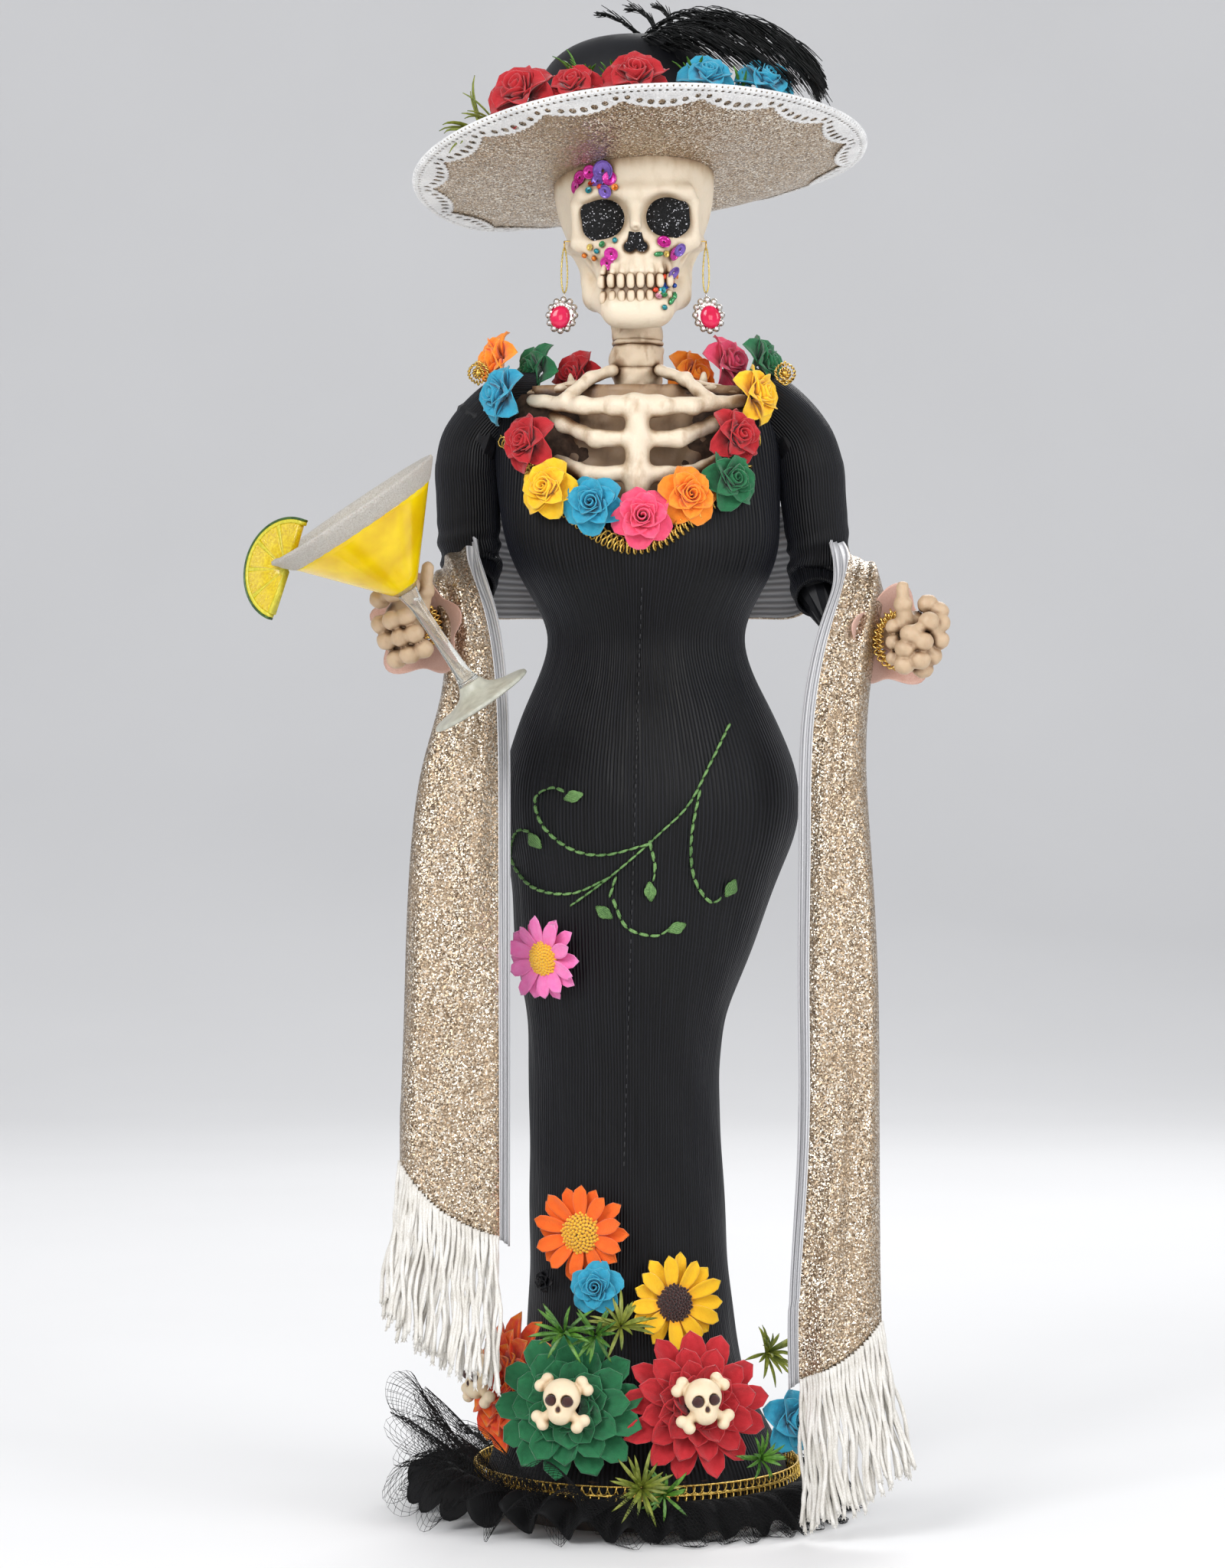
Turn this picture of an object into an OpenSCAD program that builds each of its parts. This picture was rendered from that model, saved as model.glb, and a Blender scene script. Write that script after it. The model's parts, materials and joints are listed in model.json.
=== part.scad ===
// Catrina figure: a papier-mache lady skeleton in a ribbed black dress, with a
// wide hat, a draped stole, a salted cocktail glass and swinging earrings.
// The origin is the centre of the base disc's underside. +Z is up and the
// figure faces -Y, so its own right hand is on the -X side.

/* [Base] */
// Radius of the wooden base disc
base_r = 50; // [42:1:60]
// Thickness of the base disc
base_t = 8; // [5:0.5:14]
// Radius of the dowel that runs up inside the body
post_r = 5; // [3:0.5:8]
// Height of the dowel's top
post_top = 290; // [200:5:300]

/* [Body] */
// Height of the shoulder line
shoulder_z = 412; // [390:1:440]
// Width across the shoulders of the shell
shoulder_w = 104; // [90:1:120]
// Height of the fullest bust line
bust_z = 354; // [345:1:365]
// Width at the bust
bust_w = 99; // [86:1:112]
// Depth at the bust
bust_d = 74; // [62:1:86]
// Height of the waist
waist_z = 320; // [312:1:330]
// Width of the waist
waist_w = 67; // [56:1:80]
// Depth of the waist
waist_d = 50; // [44:1:62]
// Height of the hip line
hip_z = 258; // [245:1:270]
// Width at the hips
hip_w = 108; // [92:1:124]
// Depth at the hips
hip_d = 84; // [72:1:96]
// Height of the knee line
knee_z = 160; // [145:1:175]
// Width at the knees
knee_w = 67; // [58:1:80]
// Depth at the knees
knee_d = 60; // [52:1:72]
// Width of the skirt where the hem flowers start
ankle_w = 74; // [64:1:86]
// Radius of the hem ring
hem_r = 57; // [53:1:62]

/* [Dress] */
// Thickness of the ribbed cloth
cloth_t = 1.2; // [0.8:0.1:2]
// Air left between the shell and the cloth
cloth_gap = 0.3; // [0.2:0.1:0.6]
// Half width of the open neckline at the shoulders
neck_half_w = 47; // [38:1:49]
// Depth of the neckline below the shoulder line
neck_drop = 54; // [44:1:60]
// Depth of the chest recess behind the ribs
recess_d = 24; // [16:1:28]

/* [Arms] */
// Radius of the upper arm
arm_r = 10.5; // [8:0.5:12]
// Radius of the forearm
forearm_r = 6; // [5:0.5:8]
// Radius of a finger
finger_r = 3.6; // [3:0.1:4.5]
// Radius of the bracelet wire
bracelet_wire_r = 1.2; // [0.8:0.1:1.8]

/* [Head] */
// Width of the skull
skull_w = 59; // [52:1:66]
// Depth of the skull
skull_d = 62; // [54:1:70]
// Height of the chin above the origin
chin_z = 431; // [426:1:440]
// Height of the face from chin to hat
face_h = 58; // [52:1:64]
// Radius of an eye socket
eye_r = 8.3; // [7:0.1:9.5]
// Radius of the neck column
neck_r = 9.5; // [8:0.5:11]

/* [Hat] */
// Radius of the brim
brim_r = 83; // [70:1:92]
// Rise of the brim's rim above its flat
brim_rise = 7; // [4:0.5:12]
// Thickness of the brim
brim_t = 2.2; // [1.6:0.1:3.5]
// Radius of the crown
crown_r = 37; // [33:1:42]
// Height of the crown
crown_h = 52; // [40:1:60]
// Backward tilt of the hat in degrees
hat_tilt = 8.5; // [4:0.5:12]
// Sideways lean of the hat in degrees
hat_lean = 4.5; // [0:0.5:8]
// Width of the lace band
lace_w = 9; // [6:0.5:12]

/* [Flowers] */
// Diameter of a neckline rose
rose_d = 19; // [14:1:20]
// Height of a neckline rose
rose_h = 9; // [6:0.5:12]
// Diameter of the large hem flowers
mum_d = 54; // [44:1:56]
// Diameter of the flame-coloured hem flower
fire_d = 50; // [40:1:54]
// Diameter of the daisies
daisy_d = 33; // [26:1:36]
// Width of a skull charm
charm_w = 21; // [16:1:24]

/* [Stole] */
// Thickness of the stole
stole_t = 2.4; // [1.6:0.1:3]
// Length of the fringe
fringe_l = 52; // [40:1:56]

/* [Glass] */
// Radius of the glass rim
glass_r = 33; // [28:1:36]
// Depth of the bowl
bowl_h = 34; // [28:1:38]
// Length of the stem below the bowl
stem_h = 47; // [42:1:54]
// Radius of the foot
foot_r = 19; // [15:0.5:21]
// Wall of the bowl
glass_t = 1.4; // [1:0.1:2]
// Width of the salt band
salt_w = 7; // [4:0.5:10]
// Thickness of the salt
salt_t = 0.8; // [0.5:0.1:1.2]
// Radius of the half slice of lime
lime_r = 18.5; // [14:0.5:20]
// Thickness of the slice of lime
lime_t = 3; // [2:0.5:4]

/* [Earrings] */
// Radius of the ring that holds an earring
hook_r = 1.5; // [1.3:0.1:2]
// Length of the thread loop
loop_l = 17; // [12:0.5:20]
// Radius of the gold thread
thread_r = 0.4; // [0.3:0.05:0.5]
// Width of the stone setting
setting_w = 11; // [8:0.5:12]
// Height of the stone setting
setting_h = 13; // [9:0.5:14]

/* [Hidden] */

side_n = 40;            // facets round the body
limb_n = 16;            // facets round a limb
wire_n = 8;             // facets round a stitch or a spray
gap = 0.3;              // air between pieces that are glued at a point
joint_in = 0.2;         // depth that stacked layers of one piece share

// Each row is height, centre x, centre y, half width, half depth of the shell.
BODY = [
    [base_t, 0, 0, hem_r - 2, hem_r - 2],
    [18, 0, 0, hem_r - 4, hem_r - 4],
    [30, 0, 0, (hem_r + ankle_w/2)/2, (hem_r + knee_d/2)/2],
    [44, -1, 0, ankle_w/2 + 3, knee_d/2 + 8],
    [62, -2, 0, ankle_w/2, knee_d/2 + 5],
    [90, -3, 0, ankle_w/2 - 2, knee_d/2 + 2],
    [(90 + knee_z)/2, -4, 0, (ankle_w + knee_w)/4 - 1, knee_d/2],
    [knee_z, -5, 0, knee_w/2, knee_d/2],
    [knee_z + 20, -4, 0, knee_w/2 + 1.5, knee_d/2 + 1.5],
    [(knee_z + hip_z)/2 - 2, -1, 1, (knee_w + hip_w)/4 - 1, (knee_d + hip_d)/4],
    [hip_z - 26, 3, 2, hip_w/2 - 6, hip_d/2 - 3],
    [hip_z - 10, 4.5, 2, hip_w/2 - 1, hip_d/2 - 0.5],
    [hip_z + 2, 5, 2, hip_w/2, hip_d/2],
    [hip_z + 14, 5, 2, hip_w/2 - 1.5, hip_d/2 - 2],
    [(hip_z + waist_z)/2 + 2, 4, 2, (hip_w + waist_w)/4 + 1, (hip_d + waist_d)/4 + 1],
    [waist_z - 14, 3.5, 1.5, waist_w/2 + 4, waist_d/2 + 2.5],
    [waist_z, 3.5, 1, waist_w/2, waist_d/2],
    [waist_z + 11, 3, 0, waist_w/2 + 4.5, waist_d/2 + 3.5],
    [(waist_z + bust_z)/2 + 6, 3, -1, (waist_w + bust_w)/4 + 4, (waist_d + bust_d)/4 + 4],
    [bust_z, 2, -1, bust_w/2, bust_d/2],
    [bust_z + 14, 1, 0, bust_w/2 + 1, bust_d/2 - 2],
    [(bust_z + shoulder_z)/2 + 6, 0, 1, bust_w/2 + 2, bust_d/2 - 7],
    [shoulder_z - 10, -1, 2, shoulder_w/2, bust_d/2 - 14],
    [shoulder_z - 2, -1, 3, shoulder_w/2 - 3, bust_d/2 - 19],
    [shoulder_z + 4, -1, 4, shoulder_w/2 - 12, bust_d/2 - 25]
];

// --- plain geometry helpers -------------------------------------------------
function unit(v) = v / norm(v);
function mix(a, b, t) = a + (b - a)*t;
function ring(c, rx, ry, n) =
    [for (i = [0:n - 1]) let (a = 360*i/n) c + [rx*cos(a), ry*sin(a), 0]];

// A closed solid through equal rings of points, listed from foot to head.
module skin(rings) {
    n = len(rings[0]);
    m = len(rings);
    sides = [for (i = [0:m - 2], j = [0:n - 1])
        let (k = (j + 1) % n, a = i*n + j, b = a + n, c = (i + 1)*n + k, d = i*n + k)
        each [[a, b, c], [a, c, d]]];
    polyhedron(points = [for (r = rings) each r],
               faces = concat([[for (j = [0:n - 1]) j]], sides,
                              [[for (j = [n - 1:-1:0]) (m - 1)*n + j]]));
}

// Rings along a path; each size is [across, along ref] at that point.
function tangent(p, i) = unit(p[min(i + 1, len(p) - 1)] - p[max(i - 1, 0)]);
function tube_rings(p, sizes, n, ref = [0, 0, 1]) =
    [for (i = [0:len(p) - 1])
        let (t = tangent(p, i), v = unit(cross(t, ref)), u = cross(v, t))
        [for (j = [0:n - 1]) let (a = 360*j/n)
            p[i] + u*sizes[i][1]*cos(a) + v*sizes[i][0]*sin(a)]];
module tube(p, sizes, n = limb_n, ref = [0, 0, 1]) { skin(tube_rings(p, sizes, n, ref)); }
module wire(p, r, ref = [0, 1, 0]) { tube(p, [for (q = p) [r, r]], wire_n, ref); }

// Turns +Z to the direction d, with its base at p.
module face_to(p, d) {
    translate(p)
        rotate([0, acos(d[2]/norm(d)), atan2(d[1], d[0])])
            children();
}

// Value of one column of BODY at a height.
function body_at(z, col) = lookup(z, [for (r = BODY) [r[0], r[col]]]);
// Front of the cloth at x and z, and the direction that it faces there.
function front_y(x, z, out = cloth_gap + cloth_t) =
    let (rx = body_at(z, 3) + out, ry = body_at(z, 4) + out, s = (x - body_at(z, 1))/rx)
    body_at(z, 2) - ry*sqrt(max(0, 1 - s*s));
function front_dir(x, z) =
    let (rx = body_at(z, 3), ry = body_at(z, 4), y = front_y(x, z))
    unit([(x - body_at(z, 1))/(rx*rx), (y - body_at(z, 2))/(ry*ry), 0]);

// --- base, shell and dress ---------------------------------------------------
module base_disc() {
    color("saddlebrown") difference() {
        cylinder(r = base_r, h = base_t, $fn = 96);
        translate([0, 0, -1]) cylinder(r = post_r, h = base_t + 2, $fn = 48);
    }
}
module body_post() {
    color("tan") cylinder(r = post_r - gap, h = post_top, $fn = 48);
}
function shell_rings(out) =
    [for (r = BODY) ring([r[1], r[2], r[0]], r[3] + out, r[4] + out, side_n)];

// Outline of the open neckline seen from the front.
function neck_outline(extra) =
    concat([for (a = [0:15:180])
                [(neck_half_w + extra)*cos(a)*(0.52 + 0.48*(1 - sin(a))^1.2) - 1,
                 shoulder_z - (neck_drop + extra)*sin(a)^0.8]],
           [[-neck_half_w - extra - 1, shoulder_z + 30],
            [neck_half_w + extra - 1, shoulder_z + 30]]);
module neck_cut(extra, y0, y1) {
    translate([0, y1, 0]) rotate([90, 0, 0])
        linear_extrude(y1 - y0) polygon(neck_outline(extra));
}
module body_core() {
    color("dimgray") difference() {
        skin(shell_rings(0));
        translate([0, 0, -1]) cylinder(r = post_r, h = post_top + 1 + gap, $fn = 48);
        neck_cut(-2, -80, -bust_d/2 + recess_d);
        neck_top_cut();
        translate([0, neck_y, shoulder_z - neck_seat - gap])
            cylinder(r = neck_r + 4 + gap, h = 30, $fn = 48);
    }
}
// The shell ends low inside the neckline, so that the chest stays open.
module neck_top_cut() {
    translate([-neck_half_w + 3, -40, shoulder_z - 4]) cube([2*neck_half_w - 8, 80, 30]);
}
module dress() {
    color([0.06, 0.06, 0.08]) difference() {
        skin(shell_rings(cloth_gap + cloth_t));
        skin(concat([ring([0, 0, base_t - 1], hem_r - 2 + cloth_gap, hem_r - 2 + cloth_gap, side_n)],
                    shell_rings(cloth_gap),
                    [ring([-1, 4, shoulder_z + 6], shoulder_w/2 - 12, bust_d/2 - 25, side_n)]));
        neck_cut(0, -80, 2);
        translate([-neck_half_w + 2, -30, shoulder_z - 6]) cube([2*neck_half_w - 6, 80, 40]);
    }
}

// --- arms --------------------------------------------------------------------
SHOULDER_R = [-48, 2, shoulder_z - 8];
SHOULDER_L = [46, 2, shoulder_z - 8];
ARM_R = [SHOULDER_R, [-57, 2, shoulder_z - 13], [-62, 2, shoulder_z - 30], [-62, 3, 356],
         [-60, 2, 338], [-62, -8, 329], [-68, -20, 325], [-76, -33, 323]];
ARM_L = [SHOULDER_L, [56, 2, shoulder_z - 13], [64, 2, shoulder_z - 32], [67, 3, 352],
         [66, 2, 336], [74, -7, 325], [83, -15, 321], [91, -24, 319]];
ARM_SIZE = [[arm_r - 1, arm_r - 1], [arm_r, arm_r], [arm_r, arm_r], [arm_r - 1, arm_r - 1],
            [arm_r - 2, arm_r - 2], [forearm_r + 1, forearm_r + 1],
            [forearm_r, forearm_r], [forearm_r - 1, forearm_r - 1]];
sleeve_rows = 6;        // rows of the arm that the sleeve covers
function first(list, n) = [for (i = [0:n - 1]) list[i]];
function grown(sizes, by) = [for (s = sizes) s + [by, by]];
module arm(path) {
    difference() {
        tube(path, ARM_SIZE, limb_n, [0, 1, 0.2]);
        skin(shell_rings(cloth_gap + cloth_t + gap));
    }
}
module sleeve(path) {
    p = first(path, sleeve_rows);
    s = first(ARM_SIZE, sleeve_rows);
    difference() {
        tube(p, grown(s, cloth_gap + cloth_t), limb_n, [0, 1, 0.2]);
        tube(first(path, sleeve_rows + 1), grown(first(ARM_SIZE, sleeve_rows + 1), cloth_gap),
             limb_n, [0, 1, 0.2]);
        skin(shell_rings(cloth_gap + cloth_t + gap));
    }
}
module arm_right() { color("dimgray") arm(ARM_R); }
module arm_left() { color("dimgray") arm(ARM_L); }
module sleeve_right() { color([0.07, 0.07, 0.1]) sleeve(ARM_R); }
module sleeve_left() { color([0.07, 0.07, 0.1]) sleeve(ARM_L); }

// --- hands -------------------------------------------------------------------
// A palm with four stacked finger rolls and a thumb; fingers curl to +X.
module hand(thumb_up) {
    hull() {
        translate([-3, 4, 8]) sphere(r = 5, $fn = 20);
        translate([-3, 4, -8]) sphere(r = 5, $fn = 20);
        translate([0, 9, 0]) sphere(r = 5, $fn = 20);
    }
    for (i = [0:3])
        translate([-6, 0, 11 - 7*i]) rotate([90, 0, 0])
            cylinder(r = finger_r, h = 6, center = true, $fn = 24);
    for (i = [0:3])
        translate([0, -5, 11 - 7*i]) rotate([0, 90, 0])
            cylinder(r = finger_r, h = 15, center = true, $fn = 24);
    tube(thumb_up ? [[4, 2, 6], [6, 0, 13], [5, -1, 19]] : [[2, 2, 6], [4, -2, 12], [8, -4, 15]],
         [[3.6, 3.6], [3.4, 3.4], [2.6, 2.6]], 12, [0, 1, 0]);
}
HAND_R = [-85, -50, 323];
HAND_L = [101, -39, 319];
module hand_right() {
    color("burlywood") difference() {
        translate(HAND_R) rotate([0, 0, -12]) hand(false);
        tube(ARM_R, ARM_SIZE, limb_n, [0, 1, 0.2]);
        glass_place() cylinder(r = 2.6, h = stem_h, $fn = 24);
    }
}
module hand_left() {
    color("burlywood") difference() {
        translate(HAND_L) rotate([0, 0, 10]) mirror([1, 0, 0]) hand(true);
        tube(ARM_L, ARM_SIZE, limb_n, [0, 1, 0.2]);
    }
}
function last_dir(p) = unit(p[len(p) - 1] - p[len(p) - 2]);
function near_end(p, back) = p[len(p) - 1] - last_dir(p)*back;
module cuff(path, drop) {
    difference() {
        face_to(near_end(path, 9), last_dir(path)) union() {
            cylinder(r1 = forearm_r + 2, r2 = forearm_r + 6, h = 6, $fn = 40);
            translate([0, 0, -drop]) cylinder(r1 = forearm_r + 1, r2 = forearm_r + 2,
                                              h = drop, $fn = 40);
        }
        face_to(near_end(path, 9 + 2*drop), last_dir(path))
            cylinder(r = forearm_r + 0.6, h = 60, $fn = 40);
    }
}
module cuffs() { color("mistyrose") { cuff(ARM_R, 4); cuff(ARM_L, 4); } }
module bracelet(path) {
    for (i = [0:2])
        face_to(near_end(path, 2.4 - i*2.6 + 4), last_dir(path))
            rotate_extrude($fn = 48) translate([forearm_r + 2.4 + bracelet_wire_r, 0])
                circle(r = bracelet_wire_r, $fn = 20);
}
module bracelets() { color("gold") { bracelet(ARM_R); bracelet(ARM_L); } }

// --- chest, neck and skull -----------------------------------------------------
chest_y = -bust_d/2 + recess_d;      // back wall of the chest recess
rib_y = -29;                         // front of the breastbone
module rib(side, z0, z1, reach) {
    tube([[side*3, rib_y + 3, z0], [side*14, rib_y + 1, z0 + 2], [side*25, rib_y + 3, (z0 + z1)/2],
          [side*reach, chest_y - 2, z1]],
         [[2.2, 3.4], [2, 3.2], [2, 3], [1.8, 2.6]], 10, [0, 0, 1]);
}
module ribcage() {
    color("antiquewhite") union() {
        translate([0, rib_y + 5, 0]) rotate([90, 0, 0]) linear_extrude(5)
            polygon([[-8, 403], [8, 403], [6, 384], [7, 370], [5, 361], [-5, 361], [-7, 370],
                     [-6, 384]]);
        for (s = [-1, 1]) {
            rib(s, 400, 404, 38);
            rib(s, 384, 388, 33);
            rib(s, 371, 374, 26);
            tube([[s*8, -16, shoulder_z + 4], [s*14, -24, shoulder_z - 2],
                  [s*26, -22, shoulder_z - 5], [s*40, -10, shoulder_z - 3]],
                 [[2.4, 2.4], [2.4, 2.4], [2.2, 2.2], [1.8, 1.8]], 10, [0, 0, 1]);
        }
        translate([0, chest_y, 0]) rotate([90, 0, 0]) linear_extrude(2) intersection() {
            polygon(neck_outline(-6));
            translate([-60, shoulder_z - 70]) square([120, 66]);
        }
    }
}
neck_y = 2;                          // the neck stands a little behind the axis
neck_seat = 12;                      // depth of the neck's foot in the shell
module neck() {
    color("antiquewhite") translate([0, neck_y, shoulder_z - neck_seat]) difference() {
        union() {
            cylinder(r1 = neck_r + 4, r2 = neck_r, h = neck_seat, $fn = 48);
            cylinder(r = neck_r, h = chin_z - shoulder_z + neck_seat + 10, $fn = 48);
        }
        for (i = [0:2]) translate([0, 0, 13 + i*5.5]) rotate_extrude($fn = 48)
            translate([neck_r + 0.4, 0]) circle(r = 1, $fn = 16);
    }
}

head_roll = 1.5;                     // lean of the head towards its own right
skull_top = chin_z + face_h;
module head_place() {
    translate([0.3, 0, chin_z]) rotate([0, -head_roll, 0]) children();
}
// Each row of the head: height above the chin, centre y, half width, half depth.
HEAD = [
    [0, -15, 6, 5], [3, -14, 10.5, 8.5], [8, -10, 15, 14], [14, -6, 18, 18],
    [23, -2, 21, 22], [30, 1, skull_w/2 - 5.5, skull_d/2 - 6], [36, 3, skull_w/2 - 4, skull_d/2 - 4],
    [44, 4, skull_w/2 - 2, skull_d/2 - 1], [52, 4, skull_w/2, skull_d/2],
    [face_h + 1, 4, skull_w/2 - 0.5, skull_d/2 - 1], [face_h + 9, 4, skull_w/2 - 5, skull_d/2 - 5]];
function head_at(z, col) = lookup(z, [for (r = HEAD) [r[0], r[col]]]);
module skull_form() {
    skin([for (r = HEAD) ring([0, r[1], r[0]], r[2], r[3], 36)]);
}
EYES = [[-11, -17, 39], [11.5, -17, 39]];
module skull() {
    color("antiquewhite") difference() {
        head_place() skull_form();
        head_place() for (e = EYES) translate(e) rotate([95, 0, 0])
            cylinder(r1 = eye_r - 1.5, r2 = eye_r, h = 16, $fn = 40);
        head_place() translate([0, -17, 31]) rotate([90, 0, 0]) linear_extrude(20)
            polygon([[-5, -5], [5, -5], [0, 6]]);
        hat_place() translate([0, 0, -0.4]) cylinder(r = brim_r, h = 60, $fn = 64);
        translate([0, neck_y, shoulder_z]) cylinder(r = neck_r, h = chin_z + 10 - shoulder_z, $fn = 48);
    }
}
module glitter_patches() {
    color([0.05, 0.05, 0.05]) head_place() {
        for (e = EYES) translate(e) rotate([95, 0, 0]) cylinder(r = eye_r - 1.6, h = 1.6, $fn = 40);
        translate([0, -17.2, 31]) rotate([90, 0, 0]) linear_extrude(1.4)
            polygon([[-4.4, -4.5], [4.4, -4.5], [0, 5]]);
    }
}
// Small discs glued to the forehead, cheeks and jaw, as x and z on the face.
SEQUINS = [[-17, 54], [-11, 53], [-16, 49], [-9, 48.5], [-19, 31], [-13, 28], [-8, 31],
           [9, 31], [14, 29.5], [19, 31], [15, 20], [17, 15], [12, 13]];
face_side = skull_w/59;              // the clusters spread with the face
// Front of the bare face at x and z.
function face_y(x, z) =
    let (q = x/head_at(z, 2)) head_at(z, 1) - head_at(z, 3)*sqrt(max(0, 1 - q*q));
module on_face(x, z, out) {
    translate([x, face_y(x, z) - out, z]) rotate([90, 0, x*1.5]) children();
}
module face_sequins() {
    color("magenta") head_place() for (q = SEQUINS)
        on_face(q[0]*face_side, q[1], 1.6) cylinder(r = 2.4, h = 0.4, $fn = 20);
}
module face_beads() {
    color("orangered") head_place() for (q = SEQUINS, i = [-1, 1])
        on_face(q[0]*face_side + i*1.5, q[1] + i*1.7, 2.6) cylinder(r = 1, h = 1.4, $fn = 16);
}

// --- earrings ------------------------------------------------------------------
hook_wire_r = 0.25;
ear_x = skull_w/2 - 2.9;             // the rings sit at the sides of the skull
HOOK_R = [-ear_x, -8, 462.4];
HOOK_L = [ear_x - 1.4, -8, 462.4];
loop_turn_r = 1.6;                   // half width of the thread loop
loop_top = [0, 0, -0.6];             // the thread rests low in the hook ring
setting_t = 2.6;
module hook_ring(p, side) {
    translate(p) rotate([0, 90, 0]) rotate_extrude($fn = 32)
        translate([hook_r, 0]) circle(r = hook_wire_r, $fn = 16);
    translate(p + [-side*4.2, 0, hook_r]) rotate([0, side*90, 0])
        cylinder(r = hook_wire_r, h = 4.2, $fn = 16);
}
module earring_hooks() { color("gold") { hook_ring(HOOK_R, -1); hook_ring(HOOK_L, 1); } }
module half_ring(r, wire) {
    rotate_extrude(angle = 180, $fn = 32) translate([r, 0]) circle(r = wire, $fn = 16);
}
// A long thread loop whose top end is centred on the hook.
module thread_loop(p) {
    run = loop_l - 2*loop_turn_r;
    translate(p + loop_top - [0, 0, loop_turn_r]) rotate([90, 0, 0]) {
        half_ring(loop_turn_r, thread_r);
        translate([0, -run, 0]) mirror([0, 1, 0]) half_ring(loop_turn_r, thread_r);
        for (s = [-1, 1]) translate([s*loop_turn_r, -run, 0]) rotate([-90, 0, 0])
            cylinder(r = thread_r, h = run, $fn = 16);
    }
}
module earring_loop_right() { color("gold") thread_loop(HOOK_R); }
module earring_loop_left() { color("gold") thread_loop(HOOK_L); }
function loop_foot(p) = p + loop_top - [0, 0, loop_l];
// Scalloped setting that hangs by its own ring from the foot of the loop.
module setting(p) {
    c = loop_foot(p) - [0, 0, hook_r + setting_h/2 - 0.6];
    translate(loop_foot(p) + [0, 0, -0.6]) rotate([0, 90, 0]) rotate_extrude($fn = 32)
        translate([hook_r, 0]) circle(r = hook_wire_r + 0.1, $fn = 16);
    translate(c + [0, setting_t/2, -0.7]) rotate([90, 0, 0]) difference() {
        linear_extrude(setting_t) union() {
            polygon([for (a = [0:15:345]) [(setting_w/2 - 1.4)*cos(a), (setting_h/2 - 1.4)*sin(a)]]);
            for (a = [0:36:324])
                translate([(setting_w/2 - 1.5)*cos(a), (setting_h/2 - 1.5)*sin(a)])
                    circle(r = 1.5, $fn = 20);
        }
        translate([0, 0, 1]) linear_extrude(setting_t)
            polygon([for (a = [0:15:345]) [3.3*cos(a), 4.4*sin(a)]]);
    }
}
module earring_setting_right() { color("silver") setting(HOOK_R); }
module earring_setting_left() { color("silver") setting(HOOK_L); }
module stone(p) {
    c = loop_foot(p) - [0, 0, hook_r + setting_h/2 - 0.6];
    translate(c + [0, setting_t/2 - 1.1, -0.7]) rotate([90, 0, 0])
        linear_extrude(3) polygon([for (a = [0:15:345]) [3.1*cos(a), 4.2*sin(a)]]);
}
module earring_stone_right() { color("hotpink") stone(HOOK_R); }
module earring_stone_left() { color("hotpink") stone(HOOK_L); }

// --- hat -------------------------------------------------------------------------
module hat_place() {
    translate([1.5, 2, skull_top - 1]) rotate([-hat_tilt, -hat_lean, 0]) children();
}
module hat_brim() {
    color("tan") hat_place() rotate_extrude($fn = 96) polygon([
        [crown_r - 6, 0], [crown_r + 12, 0], [brim_r - 18, brim_rise*0.35],
        [brim_r, brim_rise], [brim_r - 1, brim_rise + brim_t], [brim_r - 18, brim_rise*0.35 + brim_t],
        [crown_r + 12, brim_t], [crown_r - 6, brim_t]]);
}
module hat_crown() {
    t = 1.8;
    color([0.1, 0.1, 0.13]) hat_place() translate([0, 0, brim_t + 0.1]) rotate_extrude($fn = 64)
        polygon([[crown_r - t, 0], [crown_r, 0], [crown_r - 2, crown_h*0.6],
                 [crown_r - 8, crown_h - 9], [crown_r - 18, crown_h - 3], [0, crown_h - brim_t],
                 [0, crown_h - brim_t - t], [crown_r - 18, crown_h - 3 - t],
                 [crown_r - 8 - t, crown_h - 10], [crown_r - 2 - t, crown_h*0.6]]);
}
module hat_lace() {
    color("white") hat_place() translate([0, 0, -0.6]) rotate_extrude($fn = 96)
        polygon([[brim_r + 0.9, brim_rise + 1.4], [brim_r + 0.2, brim_rise - 0.4],
                 [brim_r - lace_w, brim_rise - lace_w*0.325 - 0.6],
                 [brim_r - lace_w, brim_rise - lace_w*0.325 - 1.4],
                 [brim_r + 1, brim_rise - 1.2], [brim_r + 1.8, brim_rise + 1.4]]);
}
// A rose is a cone of petals that widens to its face, with a bud in the middle.
module rose(d, h) {
    cylinder(r1 = d*0.3, r2 = d/2, h = h*0.7, $fn = 40);
    translate([0, 0, h*0.7]) cylinder(r1 = d*0.26, r2 = d*0.16, h = h*0.3, $fn = 40);
}
brim_mid = (brim_r + crown_r)/2;     // flowers lie midway between crown and rim
HAT_ROSES = [[-37, 10 - brim_mid, 25], [-20, 3 - brim_mid, 18], [0, 2 - brim_mid, 24],
             [16, 3 - brim_mid, 18], [29, 7 - brim_mid, 20], [42, 14 - brim_mid, 18]];
module hat_roses() {
    color("crimson") hat_place() for (h = HAT_ROSES)
        face_to([h[0], h[1], brim_t + brim_rise + 3], [h[0]*0.5, h[1]*0.5, 24])
            rose(h[2]*0.8, 8);
}
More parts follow.
